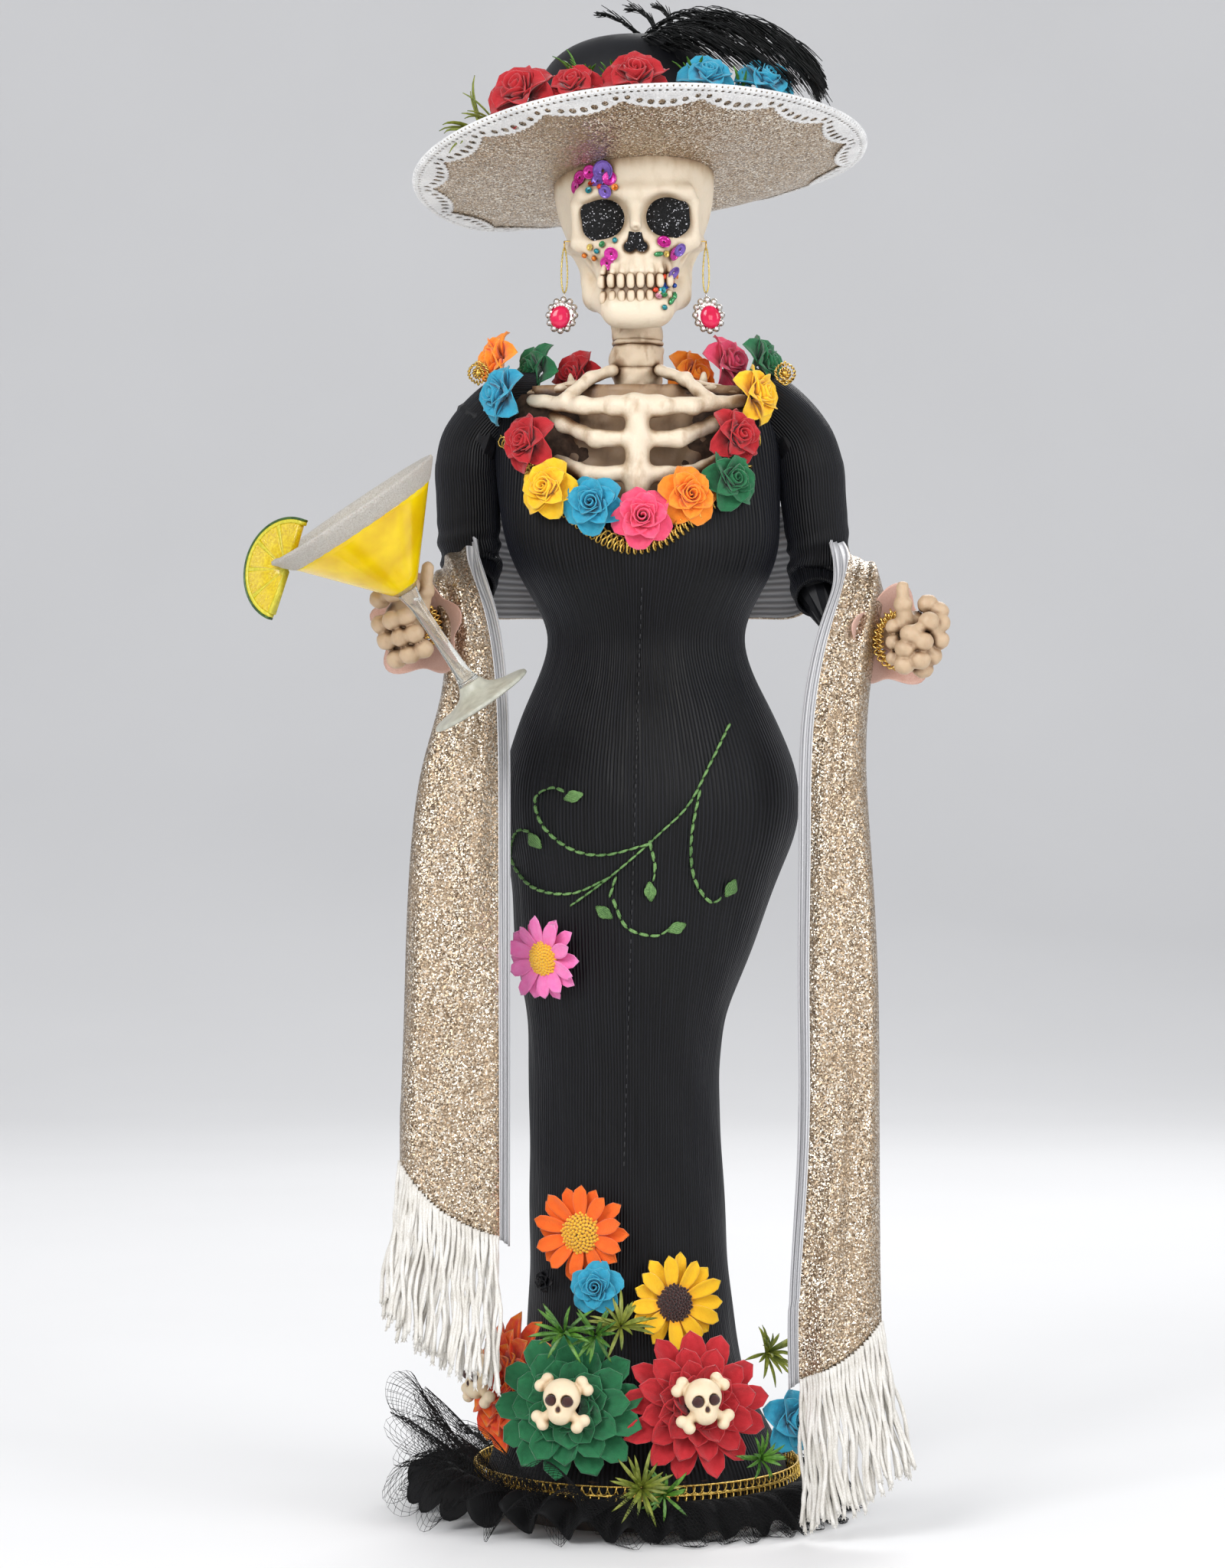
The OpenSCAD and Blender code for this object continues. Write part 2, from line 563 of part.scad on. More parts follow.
// Leaf sprays are thin tapering blades that fan from a point.
module blade(a, lift, l, w) {
    rotate([0, 0, a]) rotate([0, -lift, 0]) translate([1, 0, 0]) linear_extrude(0.8)
        polygon([[0, -w/3], [l*0.5, -w/2], [l, 0], [l*0.5, w/2], [0, w/3]]);
}
module hat_greens() {
    color("forestgreen") hat_place() {
        translate([-48, -42, brim_t + 11]) for (i = [0:4]) blade(150 + 24*i, 18 + 6*i, 17, 3.4);
        translate([-12, -50, brim_t + 20]) for (i = [0:5]) blade(170 + 30*i, 22, 15, 3);
    }
}
FEATHERS = [[[10, -10, 50], [24, -22, 53], [42, -38, 42], [58, -46, 22]],
            [[8, -12, 47], [20, -28, 49], [38, -44, 36], [52, -52, 18]],
            [[2, -8, 50], [-4, -12, 53], [-8, -14, 56], [-10, -15, 59]],
            [[4, -6, 50], [6, -9, 54], [4, -11, 58], [2, -12, 62]]];
module hat_feathers() {
    color([0.04, 0.05, 0.05]) hat_place() for (f = FEATHERS)
        tube(f, [[1, 1], [5, 1.4], [6, 1.4], [1.5, 0.6]], 10, [0, 0, 1]);
}

// --- neckline trim -----------------------------------------------------------------
// Places on the open neckline, as degrees from its left end, round the front.
function neck_pt(a, out, drop = 0) =
    let (x = (neck_half_w + drop)*cos(a)*(0.52 + 0.48*(1 - sin(a))^1.2) - 1,
         z = min(shoulder_z - (neck_drop + drop)*sin(a)^0.8, shoulder_z - 3))
    [x, front_y(x, z, out), z];
module neck_braid() {
    pts = [for (a = [4:4:176]) neck_pt(a, cloth_gap + cloth_t + gap + 0.7, 5)];
    color("gold") {
        tube(pts, [for (p = pts) [0.6, 2.4]], wire_n, [0, 0, 1]);
        for (s = [-1, 1]) face_to([s*(neck_half_w + 9) - 2, -6, shoulder_z + 3], [0, -1, 0.3])
            cylinder(r = 3.4, h = 4, $fn = 32);
    }
}
// Each rose is its centre; it faces away from the body's axis.
module rose_group(places) {
    for (p = places) face_to(p, rose_dir(p)) rose(rose_d, rose_h);
}
function rose_dir(p) = unit([p[0]*0.55, p[1] < -1 ? p[1] : -12, 5]);
ROSES_RED = [[-37, -26, shoulder_z - 24], [33, -25, shoulder_z - 22], [-20, 16, shoulder_z + 3]];
ROSES_BLUE = [[-47, -16, shoulder_z - 6], [-15, -37, shoulder_z - 47]];
ROSES_YELLOW = [[-30, -32, shoulder_z - 41], [41, -16, shoulder_z - 6]];
ROSES_ORANGE = [[-49, 0, shoulder_z + 8], [17, -35, shoulder_z - 44], [18, 16, shoulder_z + 3]];
ROSES_GREEN = [[-35, 10, shoulder_z + 5], [31, -30, shoulder_z - 38], [44, 2, shoulder_z + 7]];
ROSES_PINK = [[1.5, -39, shoulder_z - 52], [31, 12, shoulder_z + 8]];
module roses_red() { color("red") rose_group(ROSES_RED); }
module roses_blue() { color("steelblue") rose_group(ROSES_BLUE); }
module roses_yellow() { color("gold") rose_group(ROSES_YELLOW); }
module roses_orange() { color("orange") rose_group(ROSES_ORANGE); }
module roses_green() { color("green") rose_group(ROSES_GREEN); }
module roses_pink() { color("deeppink") rose_group(ROSES_PINK); }

// --- embroidery and flowers on the skirt --------------------------------------------
// Stitched stems as x and z on the front of the skirt.
STEMS = [
    [[33, 287], [26, 273], [18, 258], [8, 248], [-3, 238], [-14, 229], [-25, 221]],
    [[4, 244], [-12, 240], [-24, 242], [-34, 250], [-37, 260], [-31, 264], [-25, 262]],
    [[-10, 232], [-24, 226], [-38, 228], [-46, 238], [-44, 248], [-38, 248]],
    [[22, 263], [19, 246], [20, 232], [26, 223], [32, 226]],
    [[4, 245], [6, 236], [5, 230]],
    [[-8, 232], [-11, 222]],
    [[-9, 224], [-4, 214], [6, 211], [12, 214]]];
module vine() {
    color("olivedrab") for (st = STEMS)
        wire([for (q = st) [q[0], front_y(q[0], q[1], cloth_gap + cloth_t + 0.9), q[1]]], 0.6);
}
// A flat disc with a lobed outline, one lobe to a petal.
module lobes(d, petals, t, inner = 0.5) {
    steps = petals*8;
    linear_extrude(t) polygon([for (i = [0:steps - 1])
        let (a = 360*i/steps, r = d/2*(inner + (1 - inner)*pow(abs(cos(petals*a/2)), 0.5)))
        [r*cos(a), r*sin(a)]]);
}
// A flower: petals point outwards and the middle is a low dome.
module bloom(d, petals, t, eye_d) {
    lobes(d, petals, t);
    translate([0, 0, t - joint_in]) cylinder(r1 = eye_d/2, r2 = eye_d/2 - 1.5, h = 2.4, $fn = 40);
}
module on_front(x, z, out) {
    face_to([x, front_y(x, z, out), z], front_dir(x, z)) children();
}
module daisy_pink() { color("hotpink") on_front(-33, 203, 3.2) bloom(daisy_d, 12, 2.4, 12); }
module daisy_orange() { color("darkorange") on_front(-20, 104, 3.2) bloom(daisy_d + 3, 12, 2.4, 14); }
module sunflower() { color("gold") on_front(13, 79, 5) bloom(daisy_d + 3, 12, 2.4, 13); }
// A large layered flower: three lobed layers that get smaller towards the face.
mum_layer = 3.4;
module mum(d, petals) {
    for (i = [0:2]) translate([0, 0, i*(mum_layer - joint_in)]) rotate([0, 0, i*11])
        lobes(d*(1 - 0.2*i), petals, mum_layer);
    translate([0, 0, 3*(mum_layer - joint_in)])
        cylinder(r1 = d*0.06, r2 = d*0.04, h = 2.4, $fn = 40);
}
MUM_G = [-24, -58, 47];
MUM_R = [20, -58, 47];
FIRE = [-46, -30, 51];
module mum_green() { color("green") face_to(MUM_G, [-0.25, -1, 0.25]) mum(mum_d, 11); }
module mum_red() { color("red") face_to(MUM_R, [0.25, -1, 0.25]) mum(mum_d, 11); }
module fire_flower() { color("orangered") face_to(FIRE, [-1, -0.6, 0.25]) mum(fire_d, 9); }
module hem_roses() {
    color("teal") {
        face_to([52, -44, 38], [0.7, -1, 0.2]) rose(20, 8);
        face_to([-14, -40, 85], [-0.2, -1, 0.2]) rose(18, 7);
        on_front(-32, 86, 3) rose(7, 3);
    }
}
module skull_charm(p, d) {
    face_to(p, d) {
        cylinder(r = charm_w*0.29, h = 4, $fn = 40);
        for (a = [40, 140]) rotate([0, 0, a]) translate([-charm_w/2 + 2, -1.4, 0])
            cube([charm_w - 4, 2.8, 2.4]);
        for (a = [40, 140, 220, 320]) rotate([0, 0, a]) translate([charm_w/2 - 1.5, 0, 0])
            cylinder(r = 2.6, h = 2.6, $fn = 24);
    }
}
module skull_charms() {
    color("wheat") {
        skull_charm(MUM_G + [-3.4, -14.6, 3.6], [-0.25, -1, 0.25]);
        skull_charm(MUM_R + [3.4, -14.6, 3.6], [0.25, -1, 0.25]);
        skull_charm(FIRE + [-12.6, -7.4, 3.2], [-1, -0.6, 0.25]);
    }
}
module spray(p, d, n, l) {
    face_to(p, d) for (i = [0:n - 1]) blade(360*i/n, 35, l, 2.6);
}
module hem_greens() {
    color("limegreen") {
        spray([-26, -66, 73], [-0.2, -1, 0.4], 8, 12);
        spray([-6, -62, 75], [0.1, -1, 0.4], 8, 13);
        spray([1, -15 - hem_r, 20], [0.1, -1, 0.2], 9, 13);
        spray([46, -36, 62], [0.6, -1, 0.5], 7, 11);
        spray([43, -3 - hem_r, 28], [0.6, -1, 0.2], 7, 11);
    }
}
module hem_braid() {
    color("gold") translate([0, 0, braid_z]) rotate_extrude($fn = 96)
        translate([hem_r + cloth_t, 0]) polygon([[0, -2.6], [1.4, 0], [0, 2.6], [-0.6, 0]]);
}
braid_z = 15;                        // height of the gold braid round the hem
// Gathered net flounce: a ring whose skirt waves in and out, and which stands up
// on its left. Each row is radius, height, depth of the waves and lift.
function lifted(a) = pow(max(0, cos(a - 195)), 2);
module tulle_flounce() {
    n = 48;
    in_r = hem_r + cloth_t + 1;
    rows = [[in_r, 11.6, 0, 0], [in_r + 8, 13, 1, 14], [in_r + 20, 9, 4, 34],
            [in_r + 21, 7, 4, 32], [in_r + 12, 3, 2, 12], [in_r + 2, 1.4, 0.5, 0],
            [in_r, 4, 0, 0]];
    function wave(a, r) = r[0] + r[2]*sin(8*a) + (r[2] > 3 ? 12*lifted(a) : 0);
    color([0.12, 0.12, 0.12, 0.8]) polyhedron(
        points = [for (r = rows, j = [0:n - 1]) let (a = 360*j/n)
                  [wave(a, r)*cos(a), wave(a, r)*sin(a), r[1] + r[3]*lifted(a)]],
        faces = [for (i = [0:len(rows) - 1], j = [0:n - 1])
            let (k = (j + 1) % n, q = (i + 1) % len(rows),
                 a = i*n + j, b = q*n + j, c = q*n + k, d = i*n + k)
            each [[a, c, b], [a, d, c]]]);
}

// --- stole ---------------------------------------------------------------------------
// Each row of a fall: height, outer edge x, inner edge x, y of the cloth.
FALL_R = [[366, -80, -77, -4], [352, -78, -60, -24], [338, -74, -53, -35], [322, -70, -49, -40],
          [304, -68, -47, -41], [276, -77, -46, -41], [250, -81, -46, -42], [209, -83, -46, -43],
          [167, -84, -46, -43], [130, -86, -46, -44], [114, -72, -46, -44], [102, -58, -46, -44]];
FALL_L = [[372, 80, 83, -2], [354, 89, 76, -18], [338, 90, 71, -31], [322, 87, 65, -37],
          [304, 83, 60, -39], [279, 81, 58, -41], [237, 84, 58, -43], [195, 86, 57, -46],
          [153, 86, 58, -50], [112, 86, 56, -54], [80, 85, 53, -58], [66, 76, 53, -58], [54, 64, 54, -58]];
// Section of a fall: a shallow curve that turns back at its inner edge.
function fall_ring(r) =
    let (w = r[2] - r[1], b = sign(w)*min(abs(w)*0.2, 4), t = stole_t)
    [for (q = [[r[1], r[3] + 7], [r[1] + b*0.4, r[3] + 1], [mix(r[1], r[2], 0.5), r[3] - 1],
               [r[2] - b*0.4, r[3] + 1], [r[2], r[3] + 4],
               [r[2] - b*0.9, r[3] + 4 - t*0.2], [mix(r[1], r[2], 0.5), r[3] - 1 + t],
               [r[1] + b*0.9, r[3] + 7]])
        [q[0], q[1], r[0]]];
function flip(rings) = [for (i = [len(rings) - 1:-1:0]) rings[i]];
module stole_right() { color("tan") skin(flip([for (r = FALL_R) fall_ring(r)])); }
module stole_left() {
    color("tan") mirror([1, 0, 0])
        skin(flip([for (r = FALL_L) fall_ring([r[0], -r[1], -r[2], r[3]])]));
}
// The middle of the stole passes behind the back from arm to arm.
BACK = [[-76, 8], [-66, 26], [-52, 42], [-30, 50], [0, 53], [30, 50], [54, 42], [70, 26], [80, 8]];
module stole_back() {
    color("lightgray") skin([for (i = [0:len(BACK) - 1])
        let (p = BACK[i], t = tangent([for (q = BACK) [q[0], q[1], 0]], i),
             v = [-t[1], t[0], 0]*stole_t/2, lo = 328, hi = 372 - (abs(p[0]) < 60 ? 4 : 0))
        [[p[0], p[1], lo] + v, [p[0], p[1], lo] - v, [p[0], p[1], hi] - v, [p[0], p[1], hi] + v]]);
}
// Fringes hang as one flat bundle along each slanted hem.
function fringe_ring(x, z0, y, l, spread, lean) =
    [[x, y - 1, z0 - gap], [x, y + 1, z0 - gap], [x + spread, y + lean + 1.6, z0 - l],
     [x + spread, y + lean - 1.6, z0 - l]];
module fringe_right() {
    color("ivory") skin([for (q = [[-86, 128.5], [-72, 112.5], [-58, 100.5], [-47, 100.5]])
        fringe_ring(q[0], q[1], -43, fringe_l, q[0] < -60 ? -4 : 1, -24)]);
}
module fringe_left() {
    color("ivory") skin([for (q = [[54, 52.5], [64, 52.5], [76, 64.5], [84.5, 78.5]])
        fringe_ring(q[0], q[1], -57, min(fringe_l, q[1] - 3),
                    q[0] > 70 ? hem_r - 47 : hem_r - 63, 47 - hem_r)]);
}

// --- glass ---------------------------------------------------------------------------
module glass_place() { translate([-54.5, -66, 294]) rotate([8, -34, 0]) children(); }
module glass() {
    color([0.9, 0.9, 0.85, 0.5]) glass_place() rotate_extrude($fn = 96) polygon([
        [0, 0], [foot_r, 0], [foot_r, 1.4], [foot_r*0.5, 2.6], [3.4, 6], [2.3, 12], [2.3, stem_h - 6],
        [3.6, stem_h], [glass_r, stem_h + bowl_h], [glass_r - glass_t, stem_h + bowl_h],
        [2, stem_h + 2.4], [0, stem_h + 2]]);
}
module drink() {
    fill = 0.78;
    color("yellow") glass_place() translate([0, 0, stem_h + 2.6]) rotate_extrude($fn = 64)
        polygon([[0, 0], [1.6, 0.2], [(glass_r - glass_t - 2)*fill, (bowl_h - 2.6)*fill],
                 [0, (bowl_h - 2.6)*fill]]);
}
module salt_rim() {
    top = stem_h + bowl_h;
    low_r = 3.6 + (glass_r - 3.6)*(bowl_h - salt_w)/bowl_h;
    color("white") glass_place() rotate_extrude($fn = 96)
        polygon([[low_r, top - salt_w], [glass_r, top], [glass_r - glass_t, top],
                 [glass_r - glass_t, top + salt_t], [glass_r + salt_t, top + salt_t],
                 [low_r + salt_t, top - salt_w]]);
}
module lime_slice() {
    slot = 0.4;
    color("yellowgreen") glass_place() difference() {
        translate([-glass_r + 2.8, 0, stem_h + bowl_h - 4.4]) rotate([0, -36, 0])
            rotate([90, 0, 0]) translate([0, 0, -lime_t/2])
                rotate_extrude(angle = 180, $fn = 64) square([lime_r, lime_t]);
        rotate_extrude($fn = 96) polygon([
            [3.6 + salt_t + slot, stem_h - 1], [glass_r + salt_t + slot, stem_h + bowl_h - 1],
            [glass_r + salt_t + slot, stem_h + bowl_h + salt_t + slot],
            [glass_r - glass_t - slot, stem_h + bowl_h + salt_t + slot], [1, stem_h + 2]]);
    }
}

base_disc();
body_post();
body_core();
dress();
sleeve_right();
sleeve_left();
arm_right();
arm_left();
hand_right();
hand_left();
cuffs();
bracelets();
ribcage();
neck();
skull();
glitter_patches();
face_sequins();
face_beads();
earring_hooks();
earring_loop_right();
earring_loop_left();
earring_setting_right();
earring_setting_left();
earring_stone_right();
earring_stone_left();
hat_brim();
hat_crown();
hat_lace();
hat_roses();
hat_greens();
hat_feathers();
neck_braid();
roses_red();
roses_blue();
roses_yellow();
roses_orange();
roses_green();
roses_pink();
vine();
daisy_pink();
daisy_orange();
sunflower();
mum_green();
mum_red();
fire_flower();
hem_roses();
skull_charms();
hem_greens();
hem_braid();
tulle_flounce();
stole_right();
stole_left();
stole_back();
fringe_right();
fringe_left();
glass();
drink();
salt_rim();
lime_slice();
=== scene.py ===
# %% [markdown]
# # A papier-mache catrina in Blender
#
# The real figure is a paper shell on a dowel, dressed, painted and then covered
# with bought trimmings. The maker's model already holds every piece at its real
# size and place, so this lesson only gives each piece its true surface: cloth,
# crochet, petals, glitter and painted bone. Everything is in metres.

# %% Load the frame and keep its box
import json
import math
import random

import bmesh
import bpy
import numpy as np
from mathutils import Matrix, Vector
from mathutils.bvhtree import BVHTree


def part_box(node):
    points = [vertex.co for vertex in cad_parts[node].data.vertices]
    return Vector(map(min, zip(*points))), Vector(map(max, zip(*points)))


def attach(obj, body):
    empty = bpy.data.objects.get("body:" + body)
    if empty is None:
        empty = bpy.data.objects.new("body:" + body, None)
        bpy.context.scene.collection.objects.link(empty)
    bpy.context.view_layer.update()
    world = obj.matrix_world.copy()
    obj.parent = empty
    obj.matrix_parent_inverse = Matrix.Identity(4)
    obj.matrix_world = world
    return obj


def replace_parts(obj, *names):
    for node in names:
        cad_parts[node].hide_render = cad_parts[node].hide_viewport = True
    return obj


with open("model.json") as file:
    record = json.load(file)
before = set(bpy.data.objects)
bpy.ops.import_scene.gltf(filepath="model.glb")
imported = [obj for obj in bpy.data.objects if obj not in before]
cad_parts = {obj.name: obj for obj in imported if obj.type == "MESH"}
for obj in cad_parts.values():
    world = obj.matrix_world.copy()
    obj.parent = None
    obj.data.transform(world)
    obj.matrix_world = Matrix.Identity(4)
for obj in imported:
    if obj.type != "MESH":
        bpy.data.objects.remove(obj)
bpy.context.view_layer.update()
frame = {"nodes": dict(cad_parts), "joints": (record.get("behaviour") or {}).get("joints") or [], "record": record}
scene = bpy.context.scene
MM = 0.001
TAU = 2 * math.pi

# %% [markdown]
# ## Camera
#
# A portrait lens of about 87 mm stands level with the middle of the figure,
# 1.4 m in front of it and a little to one side. Level keeps the uprights
# upright, as a product shot does, and no shift is needed.

# %% Camera
lens_mm = 87.4
camera_data = bpy.data.cameras.new("portrait_lens")
camera_data.lens = lens_mm
camera_data.sensor_width = 36
camera = bpy.data.objects.new("portrait_camera", camera_data)
scene.collection.objects.link(camera)
camera.location = (-0.009, -1.4, 0.2655)
camera.rotation_euler = (math.pi / 2, 0, 0)
scene.camera = camera

# %% [markdown]
# ## Light and floor
#
# Soft boxes on both sides and a pale sweep give the open, even light of a shop
# picture. The sweep is one curved sheet, so there is no horizon line.

# %% Light and floor
def soft_box(name, place, target, size, power):
    """A square area light that looks at a target."""
    data = bpy.data.lights.new(name, "AREA")
    data.size = size
    data.energy = power
    light = bpy.data.objects.new(name, data)
    scene.collection.objects.link(light)
    light.location = place
    light.rotation_euler = (Vector(target) - Vector(place)).to_track_quat("-Z", "Y").to_euler()
    return light


middle = (0, 0, 0.28)
soft_box("key_box", (-0.9, -1.3, 1.15), middle, 0.8, 18)
soft_box("fill_box", (1.3, -1.0, 0.8), middle, 0.8, 11)
soft_box("rim_box", (0.4, 1.2, 1.3), middle, 0.8, 12)
soft_box("front_box", (0.05, -1.7, 0.5), middle, 0.5, 3)

world = bpy.data.worlds.new("pale_room")
scene.world = world
world.use_nodes = True
world.node_tree.nodes["Background"].inputs["Color"].default_value = (0.95, 0.96, 1.0, 1)
world.node_tree.nodes["Background"].inputs["Strength"].default_value = 0.62
scene.view_settings.view_transform = "Standard"


def sweep_profile(count=14):
    """Floor, a quarter turn, then a wall: points as (y, z)."""
    floor = [(-6.0, 0.0), (1.6, 0.0)]
    turn = [(1.6 + 1.4 * math.sin(a), 1.4 - 1.4 * math.cos(a))
            for a in np.linspace(0.1, math.pi / 2, count)]
    return floor + turn + [(3.0, 4.5)]


sweep_rows = [[(x, y, z) for y, z in sweep_profile()] for x in (-6.0, 6.0)]

# %% [markdown]
# ## Two small mesh tools
#
# Nearly all pieces come from two ideas. A grid of points becomes a sheet of
# quads, which suits cloth, petals and turned shapes. A distance field becomes a
# closed skin, which suits bone and clay, because rounded parts can melt into
# each other there as they do under a thumb.

# %% Mesh tools
def new_piece(name, points, faces, body="figure", smooth=True):
    """A mesh object in the row frame that rides on a body."""
    mesh = bpy.data.meshes.new(name)
    mesh.from_pydata([tuple(p) for p in points], [], [tuple(int(i) for i in f) for f in faces])
    mesh.update()
    if smooth:
        mesh.polygons.foreach_set("use_smooth", [True] * len(mesh.polygons))
    piece = bpy.data.objects.new(name, mesh)
    scene.collection.objects.link(piece)
    if body:
        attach(piece, body)
    return piece


def grid_faces(rows, cols, wrap=False, start=0):
    """Quads of a grid whose points are listed row by row."""
    last = cols if wrap else cols - 1
    return [(start + r * cols + c, start + r * cols + (c + 1) % cols,
             start + (r + 1) * cols + (c + 1) % cols, start + (r + 1) * cols + c)
            for r in range(rows - 1) for c in range(last)]


def set_uv(piece, uv):
    """Stores one (u, v) per point in the piece's UV map."""
    mesh = piece.data
    layer = mesh.uv_layers.new(name="cloth")
    loops = np.zeros(len(mesh.loops), np.int32)
    mesh.loops.foreach_get("vertex_index", loops)
    layer.data.foreach_set("uv", np.asarray(uv, np.float32)[loops].ravel())


def thicken(piece, thickness, offset=-1.0, levels=0):
    """Gives a sheet its real thickness, then rounds it."""
    solid = piece.modifiers.new("thickness", "SOLIDIFY")
    solid.thickness = thickness
    solid.offset = offset
    if levels:
        smooth_more(piece, levels)
    return piece


def smooth_more(piece, levels=1):
    round_off = piece.modifiers.new("rounding", "SUBSURF")
    round_off.levels = round_off.render_levels = levels
    return piece


def net_skin(field, low, high, step):
    """Points and quads of the surface where field(x, y, z) is zero (surface nets)."""
    low, high = np.array(low, float), np.array(high, float)
    count = np.ceil((high - low) / step).astype(int) + 1
    axes = [low[i] + step * np.arange(count[i]) for i in range(3)]
    value = field(*np.meshgrid(*axes, indexing="ij")).astype(np.float32)
    inside = value < 0
    cells = tuple(count - 1)
    corner = [np.array(c) for c in np.ndindex(2, 2, 2)]

    def part(array, c):
        return array[c[0]:c[0] + cells[0], c[1]:c[1] + cells[1], c[2]:c[2] + cells[2]]

    total = sum(part(inside, c).astype(np.int8) for c in corner)
    mixed = (total > 0) & (total < 8)
    where = np.argwhere(mixed)
    sums, hits = np.zeros((len(where), 3)), np.zeros(len(where))
    for c in corner:
        for axis in range(3):
            if c[axis]:
                continue
            other = c.copy()
            other[axis] = 1
            a, b = part(value, c)[mixed], part(value, other)[mixed]
            crossing = (a < 0) != (b < 0)
            share = np.where(crossing, a / np.where(crossing, a - b, 1), 0)
            spot = np.tile(c.astype(float), (len(where), 1))
            spot[:, axis] += share
            sums += spot * crossing[:, None]
            hits += crossing
    points = low + step * (where + sums / hits[:, None])
    index = -np.ones(cells, int)
    index[mixed] = np.arange(len(where))
    faces = []
    for axis in range(3):
        u, v = (axis + 1) % 3, (axis + 2) % 3
        first = np.take(inside, range(count[axis] - 1), axis)
        second = np.take(inside, range(1, count[axis]), axis)
        edge = np.argwhere(first != second)
        keep = np.all([edge[:, k] % (count[k] - 1) > 0 for k in (u, v)], axis=0)
        edge = edge[keep]
        around = []
        for du, dv in ((-1, -1), (0, -1), (0, 0), (-1, 0)):
            k = edge.copy()
            k[:, u] += du
            k[:, v] += dv
            around.append(index[tuple(k.T)])
        quad = np.stack(around, 1)
        outward = first[tuple(edge.T)]
        quad[~outward] = quad[~outward][:, ::-1]
        faces += quad.tolist()
    return points, faces


def ball(x, y, z, c, r):
    """Distance-like value of an ellipsoid with centre c and radii r."""
    r = np.broadcast_to(np.array(r, float), 3)
    q = np.sqrt(((x - c[0]) / r[0]) ** 2 + ((y - c[1]) / r[1]) ** 2 + ((z - c[2]) / r[2]) ** 2)
    return (q - 1) * r.min()


def rod(x, y, z, a, b, ra, rb=None):
    """Distance to a round-ended rod from a to b, which may taper."""
    a, b = np.array(a, float), np.array(b, float)
    rb = ra if rb is None else rb
    d = b - a
    t = ((x - a[0]) * d[0] + (y - a[1]) * d[1] + (z - a[2]) * d[2]) / max(d @ d, 1e-9)
    t = np.clip(t, 0, 1)
    far = np.sqrt((x - a[0] - t * d[0]) ** 2 + (y - a[1] - t * d[1]) ** 2
                  + (z - a[2] - t * d[2]) ** 2)
    return far - (ra + (rb - ra) * t)


def melt(a, b, k):
    """Joins two fields with a soft fillet of size k."""
    h = np.clip(0.5 + 0.5 * (b - a) / k, 0, 1)
    return b + (a - b) * h - k * h * (1 - h)


def carve(a, b, k):
    """Takes field b out of field a, with a soft edge of size k."""
    return -melt(-a, b, k)


print("tools ready")

# %% [markdown]
# ## Reading places from the frame
#
# Repeated pieces share one node, such as all red roses. Splitting that node's
# mesh into loose islands gives every copy's centre. Each copy is wider at its
# face than at its back, which tells the way it looks.

# %% Places from the frame
def islands(node):
    """Loose parts of a CAD node as arrays of points."""
    mesh = frame["nodes"][node].data
    points = np.array([v.co[:] for v in mesh.vertices])
    key = {}
    same = [key.setdefault(tuple(np.round(p, 6)), i) for i, p in enumerate(points)]
    root = list(range(len(points)))

    def find(i):
        while root[i] != i:
            root[i] = root[root[i]]
            i = root[i]
        return i

    for i, j in enumerate(same):
        root[find(i)] = find(j)
    for e in mesh.edges:
        root[find(e.vertices[0])] = find(e.vertices[1])
    groups = {}
    for i in range(len(points)):
        groups.setdefault(find(i), []).append(i)
    parts = [points[g] for g in groups.values()]
    return sorted(parts, key=lambda p: (round(p[:, 0].mean(), 4), round(p[:, 2].mean(), 4)))


def facing(points, hint=None):
    """Centre and facing direction of a disc-like part, taken from its thin axis."""
    points = np.unique(np.round(points, 6), axis=0)
    centre = (points.max(0) + points.min(0)) / 2
    spread = points - points.mean(0)
    axis = np.linalg.svd(spread, full_matrices=False)[2][2]
    along = spread @ axis
    if hint is not None:
        sign = np.sign(axis @ np.array(hint))
    else:
        off = np.linalg.norm(spread - np.outer(along, axis), axis=1)
        half = (along.max() + along.min()) / 2
        sign = 1 if off[along > half].max() > off[along <= half].max() else -1
    return Vector(centre), Vector(axis * sign), np.ptp(along)


def turned(direction, spin=0.0):
    """Rotation that turns +Z to a direction, after a spin about it."""
    return Vector(direction).to_track_quat("Z", "Y").to_matrix() @ Matrix.Rotation(spin, 3, "Z")


def ray_tree(node):
    mesh = frame["nodes"][node].data
    return BVHTree.FromPolygons([v.co[:] for v in mesh.vertices],
                                [p.vertices[:] for p in mesh.polygons])


print("red roses", len(islands("roses_red")))

# %% [markdown]
# ## Materials
#
# Every finish is a small node network that works at its own scale in
# millimetres. The helper below starts a Principled surface and keeps the few
# moves that repeat: noise, a colour ramp and a bump.

